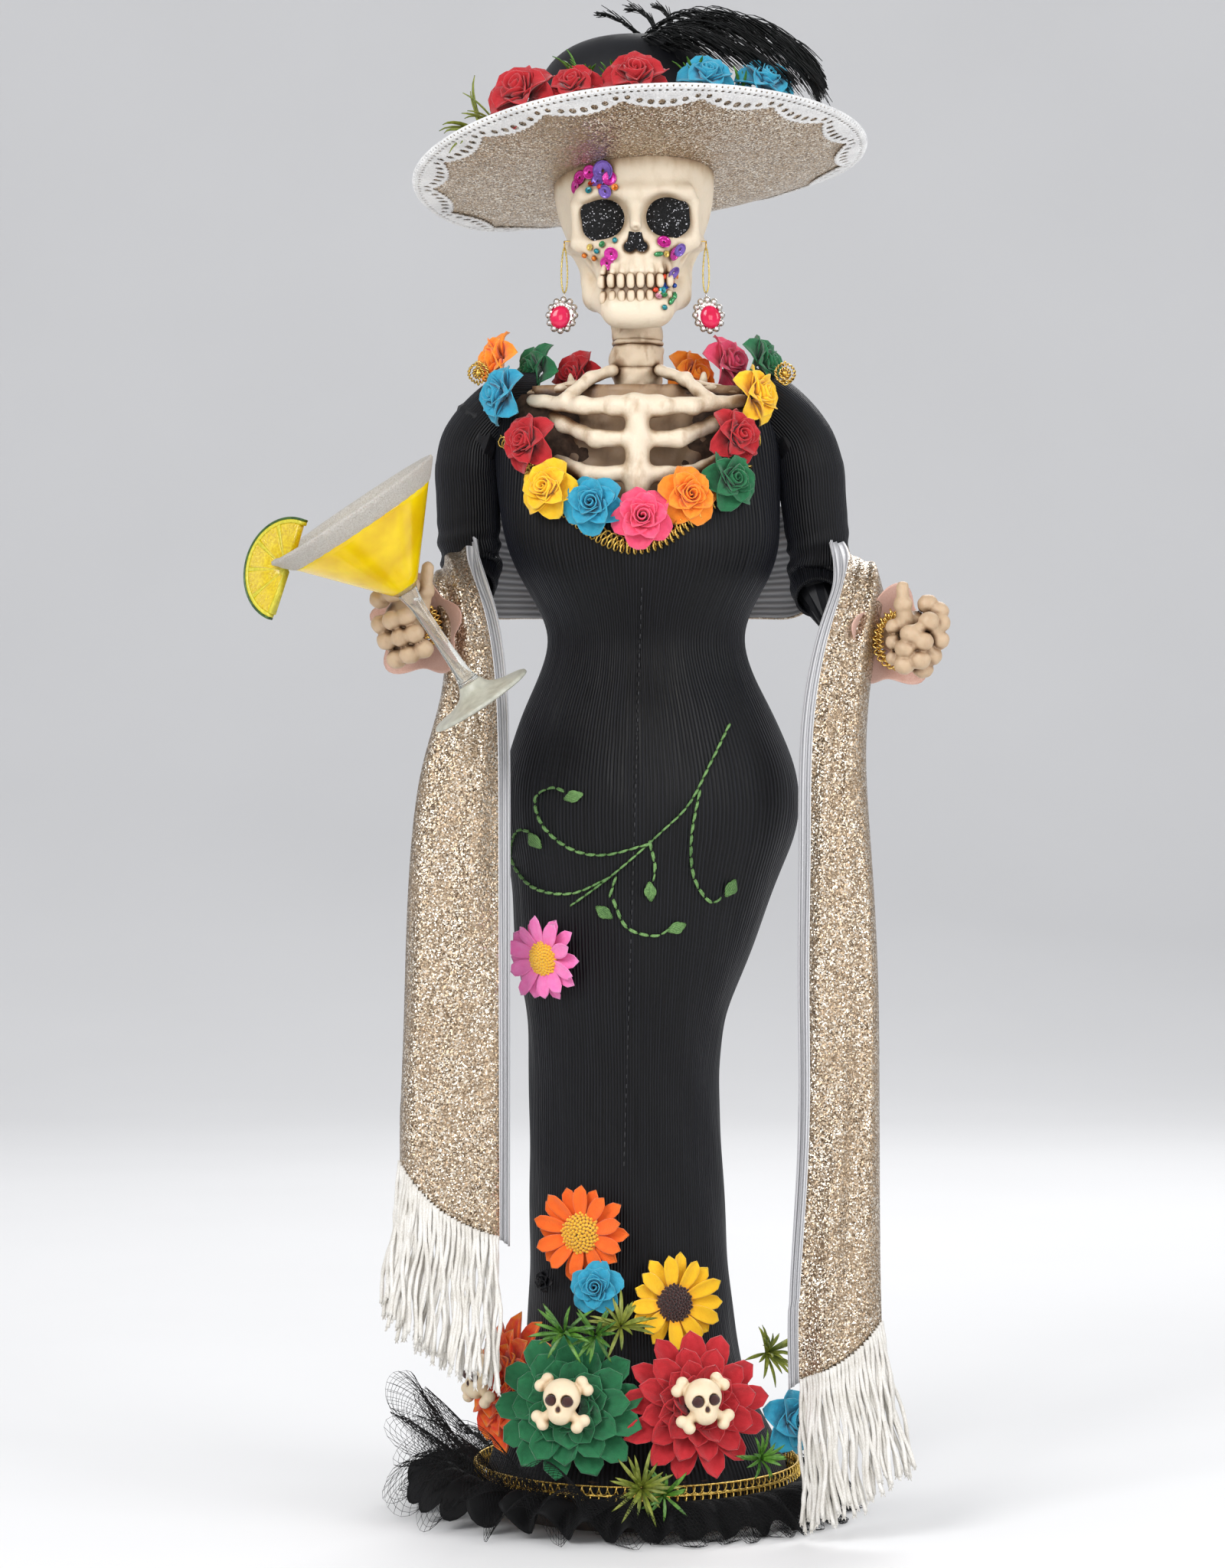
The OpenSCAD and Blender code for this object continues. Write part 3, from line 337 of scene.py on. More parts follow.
# %% Material helper
class Finish:
    """A procedural material: a Principled shader plus the few nodes it needs."""

    def __init__(self, name, rough=0.6, **sockets):
        self.material = bpy.data.materials.new(name)
        self.material.use_nodes = True
        self.tree = self.material.node_tree
        self.shader = self.tree.nodes["Principled BSDF"]
        self.shader.inputs["Roughness"].default_value = rough
        for key, value in sockets.items():
            self.shader.inputs[key.replace("_", " ")].default_value = value
        self.places = self.tree.nodes.new("ShaderNodeTexCoord")

    def node(self, kind, inputs=None, **settings):
        made = self.tree.nodes.new("ShaderNode" + kind)
        for key, value in settings.items():
            setattr(made, key, value)
        for key, value in (inputs or {}).items():
            if isinstance(value, bpy.types.NodeSocket):
                self.tree.links.new(value, made.inputs[key])
            else:
                made.inputs[key].default_value = value
        return made

    def coords(self, stretch=(1, 1, 1), kind="Object"):
        """Object place in millimetres, or the UV map, stretched."""
        unit = 1000 if kind == "Object" else 1
        scale = tuple(unit * s for s in stretch)
        return self.node("Mapping", {"Vector": self.places.outputs[kind], "Scale": scale}).outputs[0]

    def noise(self, size, detail=3, stretch=(1, 1, 1), kind="Object"):
        """Noise whose features are about size millimetres across."""
        return self.node("TexNoise", {"Vector": self.coords(stretch, kind), "Scale": 1 / size,
                                      "Detail": detail}).outputs["Fac"]

    def ramp(self, value, stops):
        made = self.node("ValToRGB", {"Fac": value})
        ramp = made.color_ramp
        while len(ramp.elements) < len(stops):
            ramp.elements.new(0.5)
        for element, (place, colour) in zip(ramp.elements, stops):
            element.position = place
            element.color = (*colour, 1) if len(colour) == 3 else colour
        return made.outputs["Color"]

    def mix(self, share, a, b, blend="MIX"):
        made = self.node("Mix", data_type="RGBA", blend_type=blend)
        for slot, value in ((0, share), (6, a), (7, b)):
            if isinstance(value, bpy.types.NodeSocket):
                self.tree.links.new(value, made.inputs[slot])
            elif slot == 0:
                made.inputs[0].default_value = value
            else:
                made.inputs[slot].default_value = (*value, 1)
        return made.outputs[2]

    def math(self, operation, a, b=0.0):
        made = self.node("Math", operation=operation)
        for i, value in enumerate((a, b)):
            if isinstance(value, bpy.types.NodeSocket):
                self.tree.links.new(value, made.inputs[i])
            else:
                made.inputs[i].default_value = value
        return made.outputs[0]

    def colour(self, value):
        if isinstance(value, bpy.types.NodeSocket):
            self.tree.links.new(value, self.shader.inputs["Base Color"])
        else:
            self.shader.inputs["Base Color"].default_value = (*value, 1)

    def link(self, value, socket):
        self.tree.links.new(value, self.shader.inputs[socket])

    def bump(self, height, strength=0.5, depth=0.2):
        """Raises the surface by height times depth millimetres."""
        made = self.node("Bump", {"Height": height, "Strength": strength,
                                  "Distance": depth * MM})
        self.tree.links.new(made.outputs["Normal"], self.shader.inputs["Normal"])
        return made


finishes = {}

# %% [markdown]
# ### Petals
#
# The flowers are mulberry paper and dyed cloth: matt, slightly furry, with fine fibres running along it. Each
# petal is painted darker at its foot, deep in the flower, as painted shade, and paler at its tip as a painted
# highlight. One function makes every dye, so all of them share the same paper.

# %% Petal finishes
def petal_finish(name, deep, main, light):
    f = Finish(name, rough=0.85, Sheen_Weight=0.35, Sheen_Roughness=0.5,
               Subsurface_Weight=0.06, Subsurface_Scale=0.002)
    along = f.node("SeparateXYZ", {"Vector": f.places.outputs["UV"]}).outputs["Y"]
    blotch = f.noise(2.4, 4)
    fibre = f.noise(0.5, 3)
    # Painted shade at the petal's foot and a painted highlight at its tip; the same pale colour also tints the
    # random blotches.
    shade = f.ramp(along, [(0.0, deep), (0.35, main), (0.85, main), (1.0, light)])
    f.colour(f.mix(f.ramp(blotch, [(0.35, (0, 0, 0)), (0.75, (0.5, 0.5, 0.5))]), shade, light))
    f.bump(f.math("ADD", fibre, f.math("MULTIPLY", blotch, 1.5)), 0.6, 0.25)
    finishes[name] = f.material


# Each entry is (painted shade at the petal foot, the dye itself, painted highlight at the tip and tone of the
# paler blotches).
dyes_with_painted_light = {
    "red_petal": ((0.10, 0.0, 0.004), (0.44, 0.005, 0.012), (0.58, 0.02, 0.03)),
    "blue_petal": ((0.0, 0.10, 0.20), (0.015, 0.30, 0.47), (0.06, 0.42, 0.58)),
    "yellow_petal": ((0.62, 0.22, 0.0), (0.92, 0.52, 0.005), (1.0, 0.68, 0.04)),
    "orange_petal": ((0.55, 0.06, 0.0), (0.93, 0.24, 0.008), (1.0, 0.38, 0.03)),
    "green_petal": ((0.0, 0.03, 0.012), (0.005, 0.125, 0.042), (0.015, 0.19, 0.065)),
    "pink_petal": ((0.45, 0.01, 0.05), (0.86, 0.06, 0.16), (0.95, 0.16, 0.26)),
    "flame_petal": ((0.55, 0.01, 0.005), (0.78, 0.035, 0.006), (0.95, 0.30, 0.01)),
}
for dye, (deep, main, light) in dyes_with_painted_light.items():
    petal_finish(dye, deep, main, light)
petal_finish("pink_daisy", (0.80, 0.10, 0.30), (0.88, 0.17, 0.46), (0.90, 0.30, 0.60))
petal_finish("orange_daisy", (0.72, 0.05, 0.0), (0.88, 0.12, 0.003), (0.92, 0.17, 0.006))
petal_finish("sunflower_petal", (0.80, 0.16, 0.0), (0.90, 0.48, 0.003), (0.95, 0.60, 0.01))
petal_finish("pollen_yellow", (0.62, 0.30, 0.01), (0.86, 0.48, 0.02), (0.95, 0.62, 0.06))
petal_finish("seed_brown", (0.012, 0.002, 0.002), (0.035, 0.006, 0.005), (0.07, 0.014, 0.010))

# %% [markdown]
# ### Cloth
#
# The dress is a black ribbed cloth. Its ribs follow the UV map, which runs round and up the body, so they draw
# together at the waist as the cloth does. The rib crests are painted a little lighter and bluish as painted
# highlight lines, and the grooves darker as painted shade. The stole's face is glitter cloth: each tiny cell tilts
# its own way, so some flash and some stay dark, from any side; the brightest cells are also painted near-white as
# painted glints.

# %% Cloth finishes
def ribbed_cloth():
    f = Finish("ribbed_cloth", rough=0.5, Sheen_Weight=0.03, Sheen_Roughness=0.4,
               Sheen_Tint=(0.55, 0.65, 1.0, 1), Specular_IOR_Level=0.22)
    uv = f.node("SeparateXYZ", {"Vector": f.places.outputs["UV"]})
    drift = f.math("MULTIPLY", f.noise(0.05, 2, (0.4, 2.0, 1), "UV"), 2.2)
    turn = f.math("ADD", f.math("MULTIPLY", uv.outputs["X"], TAU * 190), drift)
    rib = f.math("MULTIPLY", f.math("ADD", f.math("SINE", turn), 1.0), 0.5)
    streak = f.noise(0.012, 3, (3.0, 0.12, 1), "UV")
    # Painted highlight and shade: the colour is lighter and bluish on the rib crests and streaks, and darker in
    # the grooves.
    shade = f.ramp(f.math("MULTIPLY", rib, streak),
                   [(0.0, (0.0006, 0.0006, 0.0008)), (0.3, (0.0025, 0.0025, 0.0032)),
                    (0.62, (0.012, 0.0125, 0.016))])
    f.colour(shade)
    f.link(f.ramp(streak, [(0.3, (0.36,) * 3), (0.7, (0.7,) * 3)]), "Roughness")
    f.bump(f.math("ADD", rib, f.math("MULTIPLY", streak, 0.8)), 0.9, 0.35)
    finishes["ribbed_cloth"] = f.material


def glitter(name, stops, size, rough=0.25, metal=0.75, tilt=0.9, dark=None, shine=0.5):
    """Flakes of one size; each has its own colour and its own tilt. The top of the colour ramp is near-white, as
    painted glints.
    """
    f = Finish(name, rough=rough, Metallic=metal, Specular_IOR_Level=shine)
    cells = f.node("TexVoronoi", {"Vector": f.coords(), "Scale": 1 / size})
    colour = cells.outputs["Color"]
    pick = f.node("SeparateColor", {"Color": colour})
    flake_tone_and_glint = f.ramp(pick.outputs["Red"], stops)
    if dark:
        flake_tone_and_glint = f.mix(f.ramp(f.noise(12, 3), [(0.4, (0, 0, 0)), (0.7, (0.5,) * 3)]), flake_tone_and_glint, dark)
    f.colour(flake_tone_and_glint)
    lean = f.node("VectorMath", {0: colour, 1: (0.5, 0.5, 0.5)}, operation="SUBTRACT").outputs[0]
    lean = f.node("VectorMath", {0: lean, "Scale": tilt}, operation="SCALE").outputs[0]
    face = f.node("NewGeometry").outputs["Normal"]
    whole = f.node("VectorMath", {0: face, 1: lean}, operation="ADD").outputs[0]
    f.link(f.node("VectorMath", {0: whole}, operation="NORMALIZE").outputs[0], "Normal")
    finishes[name] = f.material


ribbed_cloth()
# The near-white top stop paints glints into the champagne flakes.
glitter("champagne_glitter", [(0.0, (0.09, 0.06, 0.035)), (0.45, (0.36, 0.26, 0.17)),
                              (0.78, (0.62, 0.50, 0.36)), (0.9, (1.0, 0.95, 0.85))], 0.46,
        rough=0.3, metal=0.72, dark=(0.38, 0.27, 0.17))
# The pale top stop paints white glints into a few black flakes.
glitter("black_glitter", [(0.0, (0.003, 0.003, 0.003)), (0.8, (0.012, 0.012, 0.013)),
                          (0.96, (0.012, 0.012, 0.013)), (0.985, (0.7, 0.7, 0.75))], 0.3,
        rough=0.5, metal=0.0, tilt=0.5, shine=0.12)


def plain_cloth(name, low, high, size=0.4, rough=0.8, depth=0.15, **sockets):
    """Yarn-like cloth with a fine weave and soft patches."""
    f = Finish(name, rough=rough, **sockets)
    weave, patch = f.noise(size, 2), f.noise(9, 3)
    f.colour(f.ramp(f.math("MULTIPLY", f.math("ADD", weave, patch), 0.5),
                    [(0.36, low), (0.62, high)]))
    f.bump(weave, 0.7, depth)
    finishes[name] = f.material


plain_cloth("white_lace", (0.62, 0.62, 0.62), (0.86, 0.86, 0.85), 0.7, 0.9, 0.35, Sheen_Weight=0.3)
plain_cloth("ivory_yarn", (0.60, 0.57, 0.51), (0.80, 0.78, 0.74), 0.5, 0.6, 0.2, Sheen_Weight=0.2)
plain_cloth("green_stitch", (0.05, 0.13, 0.03), (0.17, 0.33, 0.10), 0.5, 0.6, 0.2)
plain_cloth("black_satin", (0.001, 0.001, 0.0015), (0.005, 0.0055, 0.008), 0.3, 0.5, 0.08,
            Specular_IOR_Level=0.3)
plain_cloth("black_feather", (0.0004, 0.0006, 0.0006), (0.003, 0.004, 0.004), 0.35, 0.5, 0.1,
            Specular_IOR_Level=0.3)
plain_cloth("black_net", (0.001, 0.001, 0.001), (0.005, 0.005, 0.006), 0.3, 0.7, 0.1,
            Specular_IOR_Level=0.25)
plain_cloth("chiffon", (0.66, 0.36, 0.27), (0.82, 0.54, 0.45), 0.4, 0.5, 0.1, Alpha=0.82,
            Sheen_Weight=0.4)
plain_cloth("green_spray", (0.02, 0.09, 0.008), (0.12, 0.30, 0.03), 1.4, 0.4, 0.1)
plain_cloth("olive_leaf", (0.10, 0.14, 0.01), (0.30, 0.33, 0.05), 2.0, 0.4, 0.1)


def pleated_satin():
    """White lining whose narrow pleats run along the cloth, painted grey in the folds as painted shade."""
    f = Finish("white_satin", rough=0.38, Sheen_Weight=0.3)
    u = f.node("SeparateXYZ", {"Vector": f.places.outputs["UV"]}).outputs["X"]
    pleat = f.math("MULTIPLY", f.math("ADD", f.math("SINE", f.math("MULTIPLY", u, TAU * 16)), 1), 0.5)
    # Painted shade: the pleat folds are painted grey, and the crests stay white.
    f.colour(f.ramp(pleat, [(0.0, (0.36, 0.36, 0.38)), (0.5, (0.68, 0.68, 0.70)),
                            (1.0, (0.82, 0.82, 0.83))]))
    f.bump(pleat, 0.8, 0.8)
    finishes["white_satin"] = f.material


pleated_satin()

# %% [markdown]
# ### Bone, metal, glass and paint
#
# The bone is cream paint with a brown wash that stays in the hollows. The wash
# is found with the Ambient Occlusion node, which is the same trick a painter
# uses: wipe the high places, leave the low ones.

# %% Hard finishes
def bone(name, wash, mid, top, reach=5.0, deep=0.34, full=0.68):
    f = Finish(name, rough=0.48, Subsurface_Weight=0.08, Subsurface_Scale=0.002)
    hollow = f.node("AmbientOcclusion", {"Distance": reach * MM}, samples=8).outputs["AO"]
    streak = f.noise(5, 5, (1.0, 1.0, 0.5))
    fine = f.noise(0.9, 3)
    tone = f.math("ADD", hollow, f.math("MULTIPLY", f.math("SUBTRACT", streak, 0.5), 0.55))
    f.colour(f.ramp(tone, [(deep, wash), (full, mid), (0.98, top)]))
    f.bump(f.math("ADD", fine, streak), 0.35, 0.3)
    finishes[name] = f.material


bone("bone_cream", (0.13, 0.055, 0.02), (0.50, 0.37, 0.235), (0.74, 0.635, 0.49), 6.0)
bone("bone_tan", (0.06, 0.025, 0.01), (0.30, 0.18, 0.095), (0.54, 0.39, 0.25), 2.6)
bone("tooth_cream", (0.12, 0.045, 0.015), (0.46, 0.33, 0.20), (0.72, 0.60, 0.45), 2.2, 0.4, 0.75)
bone("bone_washed", (0.12, 0.05, 0.018), (0.48, 0.35, 0.22), (0.76, 0.65, 0.50), 7.0, 0.52, 0.86)
bone("neck_bone", (0.09, 0.04, 0.015), (0.36, 0.24, 0.14), (0.66, 0.53, 0.38), 4.0, 0.62, 0.9)
bone("bone_hollow", (0.03, 0.014, 0.006), (0.13, 0.06, 0.025), (0.36, 0.24, 0.14), 8.0)
bone("charm_bone", (0.16, 0.08, 0.03), (0.60, 0.42, 0.24), (0.80, 0.66, 0.46), 2.5)


def metal(name, low, high, rough=0.25, size=0.8, depth=0.15):
    f = Finish(name, rough=rough, Metallic=1.0)
    grain = f.noise(size, 3)
    f.colour(f.ramp(grain, [(0.3, low), (0.7, high)]))
    f.bump(grain, 0.6, depth)
    finishes[name] = f.material


metal("gold_wire", (0.60, 0.36, 0.07), (0.95, 0.70, 0.25))
metal("gold_braid", (0.42, 0.24, 0.03), (1.0, 0.72, 0.20), 0.3, 0.6, 0.4)
metal("gold_thread", (0.42, 0.32, 0.08), (0.86, 0.70, 0.28), 0.35, 0.35, 0.25)
metal("rhinestone", (0.42, 0.38, 0.34), (0.80, 0.76, 0.70), 0.2)


def plastic(name, low, high, rough=0.15, size=3.0, **sockets):
    f = Finish(name, rough=rough, **sockets)
    f.colour(f.ramp(f.noise(size, 3), [(0.35, low), (0.7, high)]))
    f.bump(f.noise(size * 0.6, 2), 0.2, 0.1)
    finishes[name] = f.material


plastic("pink_stone", (0.58, 0.006, 0.05), (0.72, 0.012, 0.09), 0.12)
plastic("clear_stone", (0.55, 0.52, 0.52), (0.9, 0.88, 0.88), 0.05, Metallic=0.6)
plastic("clear_resin", (0.86, 0.87, 0.82), (0.93, 0.94, 0.90), 0.12, Transmission_Weight=0.9,
        IOR=1.45)
plastic("milky_resin", (0.50, 0.50, 0.42), (0.66, 0.66, 0.57), 0.3, Transmission_Weight=0.25,
        IOR=1.4)
plastic("yellow_resin", (0.72, 0.46, 0.0), (0.92, 0.68, 0.0), 0.16, 14.0,
        Subsurface_Weight=0.25, Subsurface_Scale=0.01)
plastic("lime_rind", (0.01, 0.045, 0.008), (0.06, 0.14, 0.02), 0.35, 1.5)
plastic("lime_pith", (0.50, 0.46, 0.02), (0.72, 0.62, 0.06), 0.35, 1.0)
plastic("lime_flesh", (0.60, 0.40, 0.0), (0.80, 0.62, 0.01), 0.2, 0.9, Transmission_Weight=0.1)
plastic("base_wood", (0.02, 0.012, 0.008), (0.06, 0.035, 0.02), 0.5, 4.0)
plastic("papier_mache", (0.03, 0.015, 0.008), (0.09, 0.05, 0.03), 0.85, 2.0)
plastic("seam_thread", (0.004, 0.004, 0.005), (0.02, 0.02, 0.024), 0.5, 1.0)
plastic("studio_sweep", (0.80, 0.80, 0.80), (0.82, 0.82, 0.82), 0.9, 300.0)
foils = {"magenta": (0.70, 0.01, 0.36), "violet": (0.20, 0.10, 0.52), "teal": (0.0, 0.25, 0.30),
         "amber": (0.85, 0.22, 0.01), "blue": (0.01, 0.08, 0.45), "leaf": (0.04, 0.30, 0.10),
         "coral": (0.85, 0.06, 0.01), "gold": (0.78, 0.55, 0.12), "rose": (0.75, 0.30, 0.42)}
for foil, tint in foils.items():
    plastic("foil_" + foil, tuple(0.7 * c for c in tint), tint, 0.12, 0.8, Metallic=0.45,
            Coat_Weight=0.6)


def salt_finish():
    f = Finish("salt", rough=0.55, Transmission_Weight=0.35, IOR=1.3)
    grain = f.noise(0.5, 4)
    f.colour(f.ramp(grain, [(0.3, (0.58, 0.53, 0.47)), (0.6, (0.80, 0.77, 0.72))]))
    f.bump(grain, 1.0, 0.6)
    finishes["salt"] = f.material


salt_finish()


def wear(piece, finish):
    """Gives a piece one finish."""
    piece.data.materials.clear()
    piece.data.materials.append(finishes[finish])
    return piece


record_slots = {p["node"]: p["material_slot"] for p in frame["record"]["subparts"]}
for node, piece in frame["nodes"].items():
    wear(piece, record_slots[node] if record_slots[node] in finishes else "papier_mache")
sweep = new_piece("studio_sweep", [p for row in sweep_rows for p in row],
                  grid_faces(2, len(sweep_rows[0])), body=None)
wear(sweep, "studio_sweep")
print(len(finishes), "finishes")

# %% [markdown]
# ## The dress
#
# The dress is ribbed cloth glued tightly over the paper shell. Rays shot at the
# shell from all round give its radius at each height and angle; smoothing that
# radius map takes the facets out. Each column of the grid then runs from the hem
# to the neckline, so the open neck has a clean edge and the ribs run upwards.

# %% Radius map of the shell
dress_tree = ray_tree("dress")
dress_low, dress_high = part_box("dress")
around = 256
heights = np.arange(dress_low.z + 0.001, dress_high.z - 0.001, 0.002)
angles = np.linspace(0, TAU, around, endpoint=False)
reach = 0.15


def shell_radius(angle, z):
    """Distance from the axis to the cloth, or None in the open neckline."""
    out = Vector((math.cos(angle), math.sin(angle), 0))
    hit = dress_tree.ray_cast(out * reach + Vector((0, 0, z)), -out)
    if hit[0] is None or hit[0].to_2d().dot(out.to_2d()) < 0.012:
        return None
    return hit[0].to_2d().length


radius = np.zeros((len(heights), around))
cloth_top = np.zeros(around)
for j, angle in enumerate(angles):
    last, open_above = 0.05, False
    for i, z in enumerate(heights):
        found = None if open_above else shell_radius(angle, z)
        if found is None:
            if z > 0.3 and not open_above:
                open_above = True
                cloth_top[j] = heights[i - 1]
        else:
            last = found
        radius[i, j] = last
    if not open_above:
        cloth_top[j] = heights[-1]


def soften(grid, passes, axis, wrap):
    """Repeated 1-2-1 averaging along one axis."""
    for _ in range(passes):
        before, after = np.roll(grid, 1, axis), np.roll(grid, -1, axis)
        if not wrap:
            first = [slice(None)] * grid.ndim
            last_row = [slice(None)] * grid.ndim
            first[axis], last_row[axis] = 0, -1
            before[tuple(first)] = grid[tuple(first)]
            after[tuple(last_row)] = grid[tuple(last_row)]
        grid = (before + 2 * grid + after) / 4
    return grid


radius = soften(soften(radius, 30, 1, True), 14, 0, False)
cloth_top = soften(cloth_top[None], 3, 1, True)[0]


def cloth_at(angle, z, out=0.0):
    """Point on the cloth at an angle round the axis and a height."""
    j = (angle % TAU) / TAU * around
    j0, f = int(j) % around, j - int(j)
    column = radius[:, j0] * (1 - f) + radius[:, (j0 + 1) % around] * f
    r = np.interp(z, heights, column) + out
    return Vector((r * math.cos(angle), r * math.sin(angle), z))


def cloth_front(x, z, out=0.0):
    """Point on the front of the cloth above a given x and z."""
    angle = -math.pi / 2 + math.asin(max(-1, min(1, x / 0.06)))
    for _ in range(12):
        p = cloth_at(angle, z, out)
        angle += (x - p.x) / max(p.to_2d().length, 0.01) / max(0.3, abs(math.sin(angle)))
    return cloth_at(angle, z, out)


def cloth_normal(p):
    """Outward direction of the cloth near a point."""
    angle = math.atan2(p.y, p.x)
    a, b = cloth_at(angle - 0.05, p.z), cloth_at(angle + 0.05, p.z)
    c, d = cloth_at(angle, p.z - 0.004), cloth_at(angle, p.z + 0.004)
    return (b - a).cross(d - c).normalized()


print("waist radius", round(float(cloth_at(0, 0.32).x), 4))

# %% Dress skin
rows = 190
points, uvs = [], []
for i in range(rows):
    for j, angle in enumerate(angles):
        share = i / (rows - 1)
        z = heights[0] + (cloth_top[j] - heights[0]) * share
        crease = 0.00035 * math.sin(5 * angle + 60 * z) * math.sin(80 * z + 3 * angle)
        points.append(cloth_at(angle, z, crease))
        uvs.append((j / around, z / 0.4))
dress = new_piece("dress_cloth", points, grid_faces(rows, around, wrap=True))
set_uv(dress, uvs)
thicken(dress, 0.0011)
wear(dress, "ribbed_cloth")
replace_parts(dress, "dress")

# %% [markdown]
# ### Tubes that follow a line
#
# Sleeves, seams, stems and strands are tubes along a smooth line. The line's
# points are joined by a Catmull-Rom curve, and each ring is kept from twisting
# by carrying the last ring's direction forward.

# %% Smooth lines and tubes
def smooth_line(points, per_span=6):
    """Catmull-Rom curve through the points."""
    p = [np.array(q, float) for q in points]
    p = [2 * p[0] - p[1]] + p + [2 * p[-1] - p[-2]]
    line = []
    for i in range(1, len(p) - 2):
        for t in np.linspace(0, 1, per_span, endpoint=False):
            a, b, c, d = p[i - 1], p[i], p[i + 1], p[i + 2]
            line.append(0.5 * (2 * b + (c - a) * t + (2 * a - 5 * b + 4 * c - d) * t ** 2
                               + (3 * b - a - 3 * c + d) * t ** 3))
    line.append(p[-2])
    return np.array(line)


def tube_points(line, radii, sides, flat=1.0, up=(0, 0, 1)):
    """Rings round a line; flat squeezes them along the carried direction."""
    side = np.array(up, float)
    rings = []
    for i, p in enumerate(line):
        ahead = line[min(i + 1, len(line) - 1)] - line[max(i - 1, 0)]
        ahead = ahead / max(np.linalg.norm(ahead), 1e-12)
        side = side - ahead * (side @ ahead)
        side = side / max(np.linalg.norm(side), 1e-9)
        over = np.cross(ahead, side)
        r = radii[i] if hasattr(radii, "__len__") else radii
        rings += [p + r * (math.cos(a) * side * flat + math.sin(a) * over)
                  for a in np.linspace(0, TAU, sides, endpoint=False)]
    return rings


class Heap:
    """Collects many small meshes into one piece, with a UV and a finish for each."""

    def __init__(self):
        self.points, self.faces, self.uv, self.finish = [], [], [], []

    def add(self, points, faces, uv=None, finish=0):
        start = len(self.points)
        self.points += [tuple(p) for p in points]
        self.faces += [tuple(i + start for i in f) for f in faces]
        self.uv += list(uv) if uv is not None else [(0.5, 0.5)] * len(points)
        self.finish += [finish] * len(faces)

    def tube(self, line, radii, sides=6, flat=1.0, finish=0, up=(0, 0, 1)):
        points = tube_points(line, radii, sides, flat, up)
        n = len(line)
        caps = [tuple(range(sides))[::-1], tuple((n - 1) * sides + k for k in range(sides))]
        uv = [(k / sides, i / (n - 1)) for i in range(n) for k in range(sides)]
        self.add(points, grid_faces(n, sides, wrap=True) + caps, uv, finish)

    def piece(self, name, finish_names, slot, body="figure", replaces=()):
        made = new_piece(name, self.points, self.faces, body)
        set_uv(made, self.uv)
        made.data.materials.clear()
        for finish in finish_names:
            made.data.materials.append(finishes[finish])
        made.data.polygons.foreach_set("material_index", self.finish)
        if replaces:
            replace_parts(made, *replaces)
        return made


print("tube tools ready")

# %% [markdown]
# ### Sleeves
#
# Slicing the CAD sleeve gives its middle line and radius, so the visible sleeve
# runs over the same arm. It starts inside the shoulder, where the two cloths
# meet in a seam, and has soft rucks at the elbow.

# %% Sleeves
def slice_box(node, axis, value):
    """Low and high corner of a CAD node where a plane across an axis cuts it."""
    mesh = frame["nodes"][node].data
    co = np.array([v.co[:] for v in mesh.vertices])
    ends = np.array([e.vertices[:] for e in mesh.edges])
    a, b = co[ends[:, 0]], co[ends[:, 1]]
    cut = (a[:, axis] - value) * (b[:, axis] - value) < 0
    a, b = a[cut], b[cut]
    t = (value - a[:, axis]) / (b[:, axis] - a[:, axis])
    hit = a + (b - a) * t[:, None]
    return hit.min(0), hit.max(0)


def sleeve(side):
    node = "sleeve_" + side
    low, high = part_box(node)
    sign = -1 if side == "right" else 1
    line, radii = [], []
    for z in np.linspace(high.z - 0.022, low.z + 0.022, 6):
        a, b = slice_box(node, 2, z)
        line.append((a + b) / 2)
        radii.append((b[0] - a[0]) / 2 * 1.04)
    line[0] = line[0] + np.array([-sign * 0.001, 0, 0.002])
    top = line[0] + np.array([-sign * 0.012, 0, 0.012])
    line = [top + np.array([-sign * 0.012, 0, 0.002]), top] + line
    radii = [radii[0] * 0.9, radii[0] * 0.98] + radii
    cuff_end = np.array([line[-1][0], low.y + radii[-1] * 0.7, low.z + radii[-1] * 0.75 + 0.007])
    line.append(cuff_end)
    radii.append(radii[-1] * 0.82)
    curve = smooth_line(line, 9)
    size = np.interp(np.linspace(0, 1, len(curve)), np.linspace(0, 1, len(radii)), radii)
    sides = 64
    points = np.array(tube_points(curve, size, sides, up=(0, 1, 0)))
    uv = [(k / sides * 0.36, i / len(curve) * 0.3) for i in range(len(curve)) for k in range(sides)]
    for i in range(len(curve)):
        ruck = math.exp(-((i / len(curve) - 0.8) / 0.12) ** 2)
        for k in range(sides):
            out = points[i * sides + k] - curve[i]
            wave = math.sin(i * 0.9 + 2.2 * math.sin(k * TAU / sides)) * 0.0007 * ruck
            points[i * sides + k] += out / np.linalg.norm(out) * wave
    made = new_piece("sleeve_cloth_" + side, points, grid_faces(len(curve), sides, wrap=True))
    set_uv(made, uv)
    thicken(made, 0.001)
    wear(made, "ribbed_cloth")
    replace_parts(made, node)
    return curve


sleeve_lines = {side: sleeve(side) for side in ("right", "left")}

# %% [markdown]
# ### The front seam
#
# One row of small stitches closes the dress down the middle. Each stitch is a short thread that dips into the
# cloth at both ends.

# %% Front seam
def stitches(heap, line, length, gap, radius, finish=0, rise=0.4):
    """Short threads laid end to end on a line of points."""
    far = np.concatenate([[0], np.cumsum(np.linalg.norm(np.diff(line, axis=0), axis=1))])
    start = 0.0
    while start + length < far[-1]:
        spots = np.linspace(start, start + length, 5)
        run = np.stack([np.interp(spots, far, line[:, k]) for k in range(3)], 1)
        for k, lift in enumerate((-0.6, rise, rise, rise, -0.6)):
            run[k] += np.array(cloth_normal(Vector(run[k]))) * radius * lift
        heap.tube(run, [radius * s for s in (0.7, 1, 1, 1, 0.7)], 6, finish=finish)
        start += length + gap


